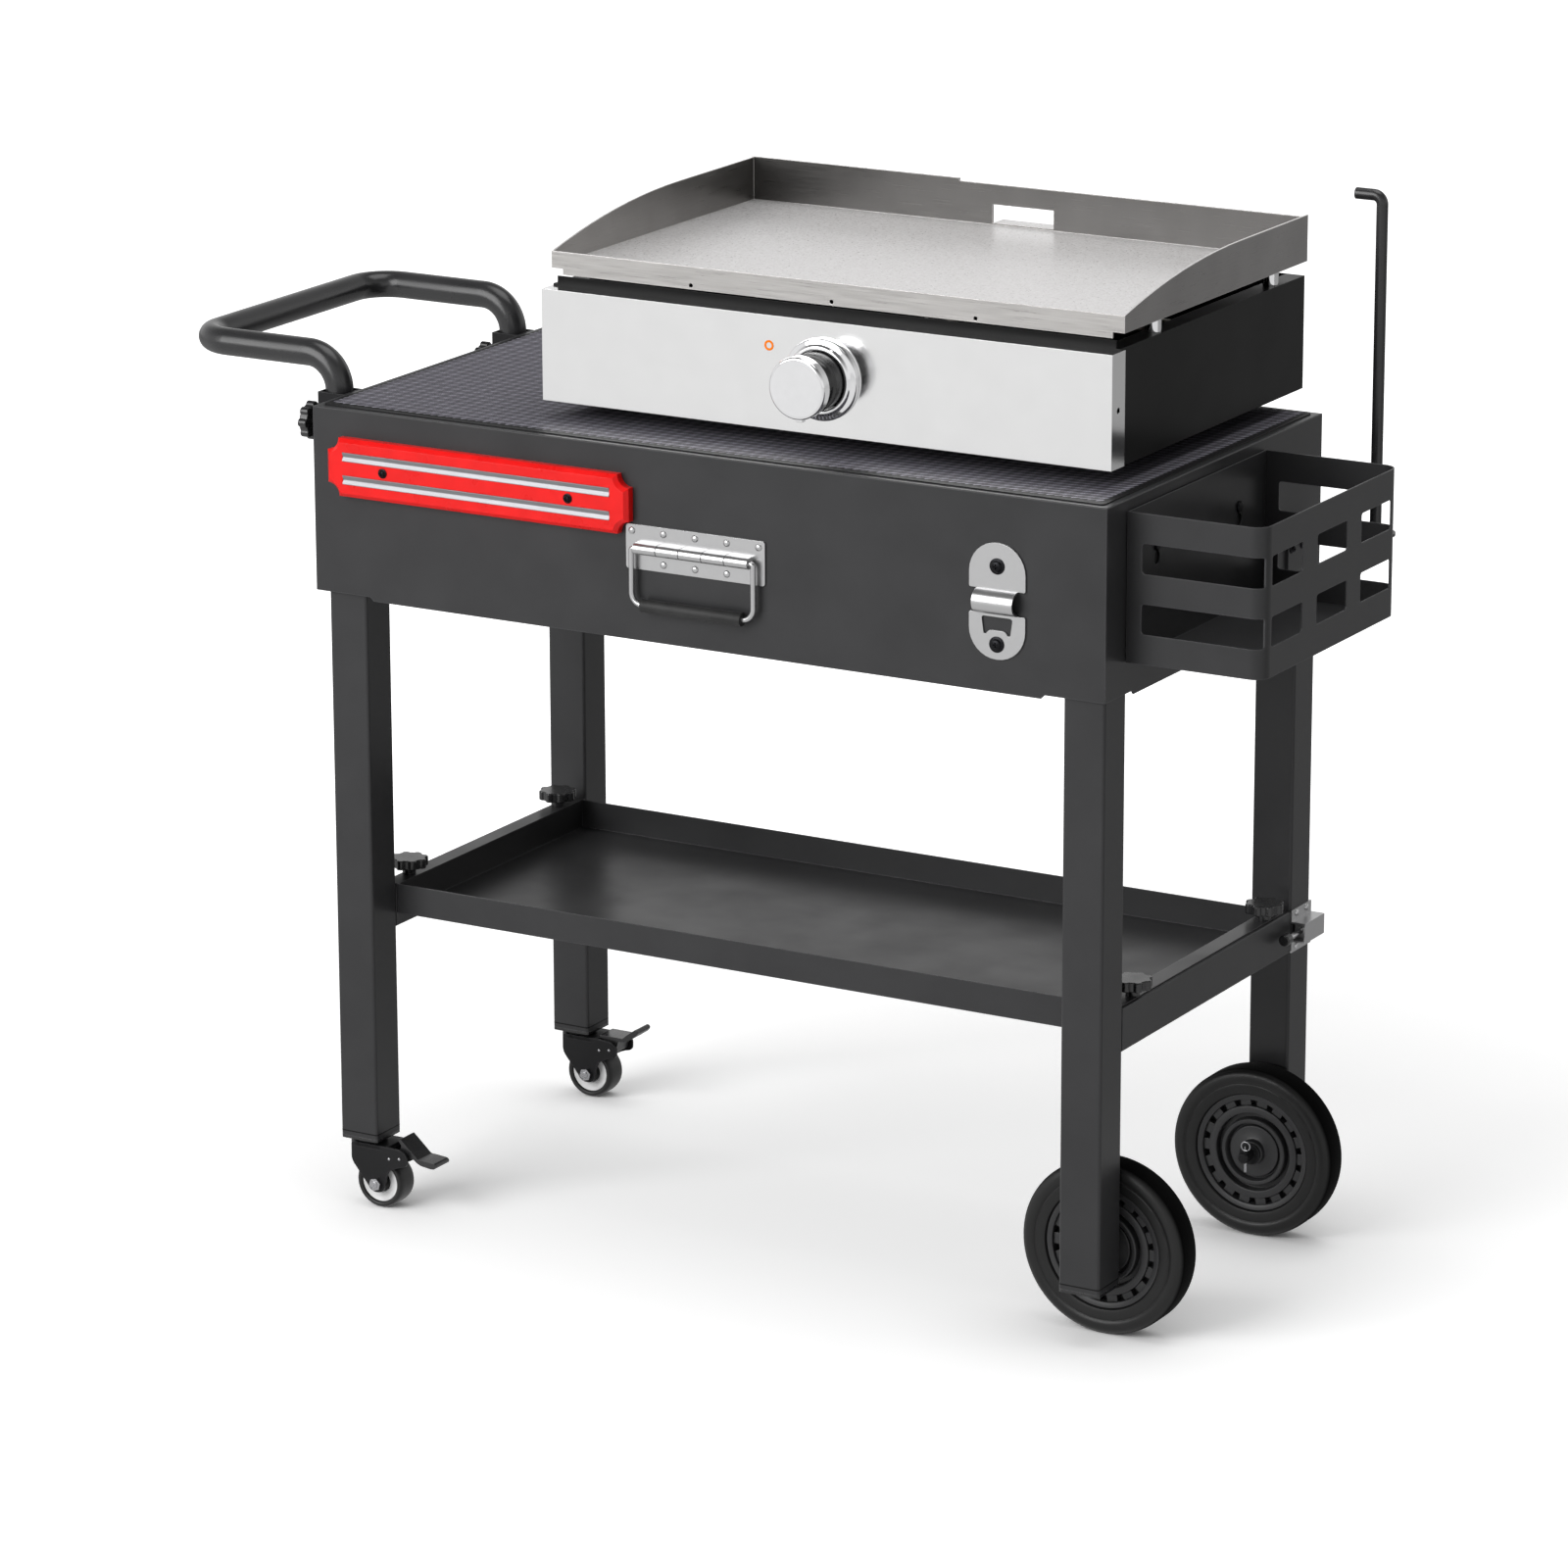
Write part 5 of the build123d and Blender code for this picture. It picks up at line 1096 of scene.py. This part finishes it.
@dataclass
class LegSeamShadows:
    """Painted shade: a dark line for the shadow in the gap where the plug meets the lower end of each leg."""

    above_low_end: float = 4.5
    line: float = 1.4
    proud: float = 0.05
    corner: float = 3
    wall: float = 1

    def build(self, shop: Workshop) -> None:
        """Lay a thin dark square ring round each leg as painted shade."""
        shape = Shape()
        for side in ("left", "right"):
            for end in ("front", "back"):
                leg = Space.of(f"leg_{end}_{side}")
                half = leg.size.x / MM / 2
                loops = [(rectangle(edge, edge), self.corner) for edge in (half + self.proud, half - self.wall)]
                shape.plate(loops, self.line, Facing.UP, leg.at(z=leg.low.z + self.above_low_end * MM))
        # Near-black ring that stands for the shadow in the joint gap
        shape.place(shop, "leg_seam_shadows", "box_black", "cart")


@dataclass
class ControlKnob:
    """Chromed gas knob with a dark waist, in a stepped bezel."""

    cap: tuple[Point, ...] = (
        (0, 47.2), (27.4, 47.2), (28.4, 47.2), (29.5, 46.9), (30.4, 46.1), (31, 44.8), (31, 43.6), (31, 36.6),
        (31, 35.6), (30.2, 34.4), (29, 33.9), (0, 33.5))
    waist: tuple[Point, ...] = (
        (0, 34), (25.2, 34), (24.6, 31), (24.6, 22), (26, 19.5), (28.8, 18), (29, 0), (0, 0))
    bezel: tuple[Point, ...] = (
        (29.5, 0), (29.5, 8.8), (30.2, 9.7), (31.6, 10), (33.2, 9.8), (34.4, 8.9), (35.2, 7.4), (36, 6.9),
        (38.8, 6.5), (40.3, 5.6), (41, 4), (41, 0))
    tab: tuple[float, float, float] = (7, 5, 7)
    tab_at: tuple[float, float, float] = (0, -31.5, 38)

    def build(self, shop: Workshop) -> None:
        """Spin the cap, the waist and the bezel."""
        ring = Space.of("knob_bezel")
        seat = ring.at(y=Space.of("control_knob").high.y)
        cap, waist, bezel = Shape(), Shape(), Shape()
        cap.turned(self.cap, Facing.FRONT, seat, steps=112)
        cap.block(self.tab, Facing.FRONT, seat, 0.0, self.tab_at)
        cap.place(shop, "gas_knob_cap", "chrome", "knob_turn", ["control_knob"], edge_mm=0.6, steps=3)
        waist.turned(self.waist, Facing.FRONT, seat, steps=96)
        waist.place(shop, "gas_knob_waist", "black_plastic", "knob_turn", (), edge_mm=0.5, steps=2)
        bezel.turned(self.bezel, Facing.FRONT, ring.at(y=ring.high.y), closed=True, steps=112)
        bezel.place(shop, "gas_knob_bezel", "chrome", "griddle", ["knob_bezel"], edge_mm=0.5, steps=3)


@dataclass
class PanelMark:
    """Small orange ring printed on the front panel beside the knob."""

    left_of_knob: float = 60
    above_knob: float = 27
    ring: tuple[Point, ...] = ((3.0, 0), (3.0, 0.15), (5.2, 0.15), (5.2, 0))

    def build(self, shop: Workshop) -> None:
        """Print the ring."""
        knob = Space.of("knob_bezel")
        at = knob.at(y=knob.high.y) + Vector((-self.left_of_knob, 0, self.above_knob)) * MM
        shape = Shape()
        shape.turned(self.ring, Facing.FRONT, at, closed=True, steps=48)
        shape.place(shop, "panel_mark", "stainless", "griddle", finish="mark_ink")


@dataclass
class BottleOpener:
    """Zinc-plated opener: an oval pressing with a strap across it and a mouth."""

    half_w: float = 30.5
    half_h: float = 57.5
    end_round: float = 30
    bend_round: float = 2
    sheet: float = 2
    strap_low: float = -12.5
    strap_high: float = 11.5
    strap_w: float = 44
    strap_out: float = 14
    bend_steps: int = 24
    mouth: tuple[Point, ...] = (
        (-17, -15.5), (17, -15.5), (14.5, -33), (11.5, -33), (9, -28.8), (-9, -28.8), (-11.5, -33), (-14.5, -33))
    mouth_rounds: tuple[float, ...] = (3, 3, 1.2, 1.2, 3, 3, 1.2, 1.2)

    def build(self, shop: Workshop) -> None:
        """Blank the two ends and bend the strap between them."""
        space = Space.of("bottle_opener")
        at = space.at(y=space.high.y)
        shape = Shape()
        w, h, bend, end = self.half_w, self.half_h, self.bend_round, self.end_round
        upper = [(-w, self.strap_high), (w, self.strap_high), (w, h), (-w, h)]
        lower = [(-w, -h), (w, -h), (w, self.strap_low), (-w, self.strap_low)]
        shape.plate([(upper, (bend, bend, end, end))], self.sheet, Facing.FRONT, at)
        shape.plate([(lower, (end, end, bend, bend)), (self.mouth, self.mouth_rounds)], self.sheet,
                    Facing.FRONT, at)
        middle = (self.strap_low + self.strap_high) / 2
        half = (self.strap_high - self.strap_low) / 2
        deep = self.strap_out - self.sheet
        turns = [math.pi * step / self.bend_steps for step in range(self.bend_steps + 1)]
        outer = [(-self.sheet - deep * math.sin(turn), middle + half * math.cos(turn)) for turn in turns]
        inner = [(-deep * math.sin(turn), middle - (half - self.sheet) * math.cos(turn)) for turn in turns]
        side = at - Vector((self.strap_w / 2 * MM, 0, 0))
        shape.plate([(outer + inner, 0)], self.strap_w, Facing.RIGHT, side)
        shape.place(shop, "opener_pressing", "zinc", "cart", ["bottle_opener"], edge_mm=0.8, steps=3)


@dataclass
class MagnetStrips:
    """Two magnet bars, each a shallow channel that sinks into the red moulding."""

    section: tuple[Point, ...] = (
        (1.9, -4.5), (-1, -4.5), (-1, -3.7), (0.7, -0.4), (0.7, 0.4), (-1, 3.7), (-1, 4.5), (1.9, 4.5))

    def build(self, shop: Workshop) -> None:
        """Draw the channel along each bar."""
        space = Space.of("magnet_strips")
        face = Space.of("magnet_bar").low.y
        shape = Shape()
        half = max(z for _, z in self.section) * MM
        for z in (space.low.z + half, space.high.z - half):
            shape.plate([(self.section, 0)], space.size.x / MM, Facing.RIGHT, Vector((space.low.x, face, z)))
        shape.place(shop, "magnet_channels", "magnet_steel", "cart", ["magnet_strips"], edge_mm=0.2, steps=2)


@dataclass
class Fasteners:
    """Cross-head screws and domed rivets that show on the outside."""

    small_r: float = 5
    large_r: float = 8
    head_share: float = 0.66
    head_high: float = 3.8
    cross: Point = (5.2, 1.2)
    cross_deep: float = 1.8
    bar_in: float = 68
    opener_off: tuple[float, float] = (34.5, -42.5)
    sheet: float = 2
    arm_t: float = 3
    arm_apart: float = 12
    arm_down: float = 25
    rivet: tuple[Point, ...] = ((3.7, 0), (3.6, 0.5), (2.9, 1.3), (1.7, 1.8), (0, 2.0))
    rivet_apart: float = 36
    rivet_rows: tuple[tuple[float, int], ...] = ((16, 2), (-15, 1))
    latch_off: Point = (11, 17.5)
    stud_in: float = 58.3
    stud_down: float = 45
    stud_gap: float = 1
    stud: tuple[Point, ...] = ((0, -1.5), (3, -1.5), (3, 2.9), (6, 2.9), (6, 4.0), (4.8, 4.8), (0, 4.9))

    def screw(self, radius: float) -> bpy.types.Mesh:
        """Pan head with a flange and a cross recess, cut with a Boolean.

        Args:
            radius: Radius of the flange in mm.

        Returns:
            The mesh in its own axes.
        """
        inner = radius * self.head_share
        head, cutter = Shape(), Shape()
        head.turned([(0, -1.5), (2, -1.5), (2, 0), (radius, 0), (radius, 0.7), (inner + 0.5, 1.2), (inner, 2.0),
                     (inner * 0.86, 3.0), (inner * 0.5, 3.6), (0, self.head_high)], Facing.UP, Vector(), steps=48)
        for tilt in (0.0, math.pi / 2):
            cutter.block((*self.cross, 2 * self.cross_deep), Facing.UP, Vector((0, 0, self.head_high * MM)), tilt)
        blank, tool = (bpy.data.objects.new("screw", shape.mesh("screw")) for shape in (head, cutter))
        for thing in (blank, tool):
            bpy.context.scene.collection.objects.link(thing)
        cut = blank.modifiers.new("recess", "BOOLEAN")
        cut.object = tool
        cut.operation = "DIFFERENCE"
        cut.solver = "EXACT"
        cut.use_self = True
        seen = blank.evaluated_get(bpy.context.evaluated_depsgraph_get())
        result = bpy.data.meshes.new_from_object(seen)
        for thing in (blank, tool):
            bpy.data.objects.remove(thing)
        return result

    def screws(self, shop: Workshop) -> None:
        """Set the screws of the magnet bar, the opener and the towel arm."""
        shape = Shape()
        small, large = self.screw(self.small_r), self.screw(self.large_r)
        bar, opener, arm = (Space.of(node) for node in ("magnet_bar", "bottle_opener", "towel_bracket"))
        for x in (bar.low.x + self.bar_in * MM, bar.high.x - self.bar_in * MM):
            shape.copy_of(small, Facing.FRONT, bar.at(x=x, y=bar.low.y))
        for off in self.opener_off:
            at = opener.at(y=opener.high.y - self.sheet * MM, z=opener.middle.z + off * MM)
            shape.copy_of(large, Facing.FRONT, at)
        for side in (-1, 1):
            at = Vector((arm.low.x + self.arm_t * MM, arm.middle.y + side * self.arm_apart * MM,
                         arm.high.z - self.arm_down * MM))
            shape.copy_of(small, Facing.RIGHT, at)
        shape.place(shop, "cross_head_screws", "black_screw", "cart", ["black_screws"])
        for mesh in (small, large):
            bpy.data.meshes.remove(mesh)

    def rivets(self, shop: Workshop) -> None:
        """Set the rivets of the carry plate and the latch, and the studs of the basket."""
        shape, studs = Shape(), Shape()
        plate, latch, basket = (Space.of(node) for node in ("carry_plate", "latch_bracket", "basket_back"))
        face = plate.at(y=plate.high.y - self.sheet * MM)
        for up, most in self.rivet_rows:
            for number in range(-most, most + 1):
                at = face + Vector((number * self.rivet_apart, 0, up)) * MM
                shape.turned(self.rivet, Facing.FRONT, at, steps=24)
        face = latch.at(x=latch.low.x + self.sheet * MM)
        for side in (-1, 1):
            for end in (-1, 1):
                at = face + Vector((0, side * self.latch_off[0], end * self.latch_off[1])) * MM
                shape.turned(self.rivet, Facing.RIGHT, at, steps=24)
        for y in (basket.low.y + self.stud_in * MM, basket.high.y - self.stud_in * MM):
            at = Vector((basket.low.x - self.stud_gap * MM, y, basket.high.z - self.stud_down * MM))
            studs.turned(self.stud, Facing.RIGHT, at, steps=32)
        shape.place(shop, "domed_rivets", "zinc", "cart", ["rivets"])
        studs.place(shop, "basket_studs", "black_screw", "cart")

    def build(self, shop: Workshop) -> None:
        """Make both kinds."""
        self.screws(shop)
        self.rivets(shop)


@dataclass
class Studio:
    """Camera at the photograph's viewpoint, a pale floor and soft lamps."""

    eye: tuple[float, float, float] = (3.302395, -5.725505, 2.33168)
    yaw: float = -0.5262
    pitch: float = 0.2776
    roll: float = -0.003
    lens_mm: float = 154.04
    floor_half: float = 40.0
    near_m: Point = (0.6, 2.2)
    near_glow: float = 0.36
    # Reach and strength of the painted contact shadow on the floor's glow
    painted_shadow_m: float = 0.16
    painted_shadow_power: float = 1.1
    mirror_y: Point = (-0.4, 0.6)
    mirror_glow: Point = (0.80, 0.34)
    floor_tone: float = 0.9
    mirror_tone: float = 0.12
    wall_rise: Point = (0.25, 0.75)
    wall_glow: Point = (1.0, 0.18)
    room_light: float = 0.26
    aim: tuple[float, float, float] = (0, 0, 0.6)

    def camera(self) -> None:
        """Place the camera."""
        data = bpy.data.cameras.new("camera")
        data.lens = self.lens_mm
        data.sensor_width = 36
        data.sensor_fit = "HORIZONTAL"
        data.clip_end = 120
        camera = bpy.data.objects.new("camera", data)
        ahead = Vector((math.sin(self.yaw) * math.cos(self.pitch),
                        math.cos(self.yaw) * math.cos(self.pitch), -math.sin(self.pitch)))
        turn = ahead.to_track_quat("-Z", "Y").to_matrix().to_4x4()
        camera.matrix_world = Matrix.Translation(self.eye) @ turn @ Matrix.Rotation(self.roll, 4, "Z")
        bpy.context.scene.collection.objects.link(camera)
        bpy.context.scene.camera = camera

    def floor(self) -> None:
        """Lay a pale floor that keeps the shadow, has a painted contact shadow where its glow is darkened by ambient
        occlusion, and turns white further off.
        """
        shape = bmesh.new()
        bmesh.ops.create_grid(shape, x_segments=2, y_segments=2, size=self.floor_half)
        mesh = bpy.data.meshes.new("floor")
        shape.to_mesh(mesh)
        shape.free()
        floor = bpy.data.objects.new("floor", mesh)
        material = bpy.data.materials.new("studio_floor")
        material.use_nodes = True
        tree = material.node_tree
        tree.nodes.clear()
        path = add(tree, "LightPath").outputs
        mirrored_rays = reckon(tree, "MAXIMUM", path["Is Transmission Ray"], path["Is Glossy Ray"])
        spot = add(tree, "TexCoord").outputs["Object"]
        away = add(tree, "VectorMath", {0: spot}, operation="LENGTH").outputs["Value"]
        far = remap(tree, away, self.near_m, (self.near_glow, 1.0), smooth=True)
        # Painted contact shadow: the floor's glow to the camera darkens where ambient occlusion finds the cart close
        painted_shadow_ao = add(tree, "AmbientOcclusion", {"Distance": self.painted_shadow_m}, samples=16).outputs["AO"]
        glow_with_painted_shadow = reckon(tree, "MULTIPLY", far, reckon(tree, "POWER", painted_shadow_ao, self.painted_shadow_power))
        direct = reckon(tree, "MULTIPLY", glow_with_painted_shadow, path["Is Camera Ray"])
        depth = add(tree, "SeparateXYZ", {0: spot}).outputs[1]
        mirror = remap(tree, depth, self.mirror_y, self.mirror_glow)
        strength = reckon(tree, "MULTIPLY_ADD", mirrored_rays, mirror, direct)
        tone = add(tree, "Mix", {0: mirrored_rays, 2: self.floor_tone, 3: self.mirror_tone}, data_type="FLOAT")
        pale = add(tree, "BsdfDiffuse", {"Color": tone.outputs[0]})
        glow = add(tree, "Emission", {"Strength": strength, "Color": "#ffffff"})
        both = add(tree, "AddShader", {0: pale.outputs[0], 1: glow.outputs[0]})
        add(tree, "OutputMaterial", {"Surface": both.outputs[0]})
        mesh.materials.append(material)
        bpy.context.scene.collection.objects.link(floor)

    def room(self) -> None:
        """Studio room: white low walls that darken towards the ceiling."""
        world = bpy.data.worlds.new("studio_room")
        bpy.context.scene.world = world
        world.use_nodes = True
        tree = world.node_tree
        tree.nodes.clear()
        path = add(tree, "LightPath").outputs
        height = add(tree, "SeparateXYZ", {0: add(tree, "TexCoord").outputs["Generated"]}).outputs[2]
        wall = remap(tree, height, self.wall_rise, self.wall_glow)
        shown = reckon(tree, "MAXIMUM", path["Is Glossy Ray"], path["Is Transmission Ray"])
        shown = reckon(tree, "MAXIMUM", shown, path["Is Camera Ray"])
        strength = add(tree, "Mix", {0: shown, 2: self.room_light, 3: wall}, data_type="FLOAT")
        back = add(tree, "Background", {"Strength": strength.outputs[0], "Color": "#ffffff"})
        add(tree, "OutputWorld", {"Surface": back.outputs[0]})

    def lamp(self, name: str, place: Sequence[float], size: float, watts: float) -> None:
        """Hang a square soft box that faces the cart.

        Args:
            name: Lamp name.
            place: Where it hangs, in metres.
            size: Side of the soft box.
            watts: Power.
        """
        data = bpy.data.lights.new(name, "AREA")
        data.shape = "SQUARE"
        data.size = size
        data.energy = watts
        lamp = bpy.data.objects.new(name, data)
        turn = (Vector(self.aim) - Vector(place)).to_track_quat("-Z", "Y").to_matrix().to_4x4()
        lamp.matrix_world = Matrix.Translation(place) @ turn
        bpy.context.scene.collection.objects.link(lamp)

    def build(self) -> None:
        """Set up the whole studio."""
        self.camera()
        self.floor()
        self.room()
        self.lamp("key_box", (-2.2, -5.0, 3.2), size=4.4, watts=330)
        self.lamp("top_box", (0.5, 0.5, 5.0), size=3.2, watts=95)
        bpy.context.scene.view_settings.view_transform = "Standard"


def main() -> None:
    """Build the studio, dress the nodes and add the fine pieces."""
    logging.basicConfig(level=logging.INFO)
    Studio().build()
    shop = Workshop()
    shop.dress_nodes()
    assemblies = [MeshMat(), RoadWheel("front"), RoadWheel("back"), StubAxles(), Caster("front", 42.0),
                  Caster("back", 0.0), LegSeamShadows(), ControlKnob(), PanelMark(), BottleOpener(), MagnetStrips(),
                  Fasteners()]
    for assembly in assemblies:
        assembly.build(shop)


if __name__ == "__main__":
    main()
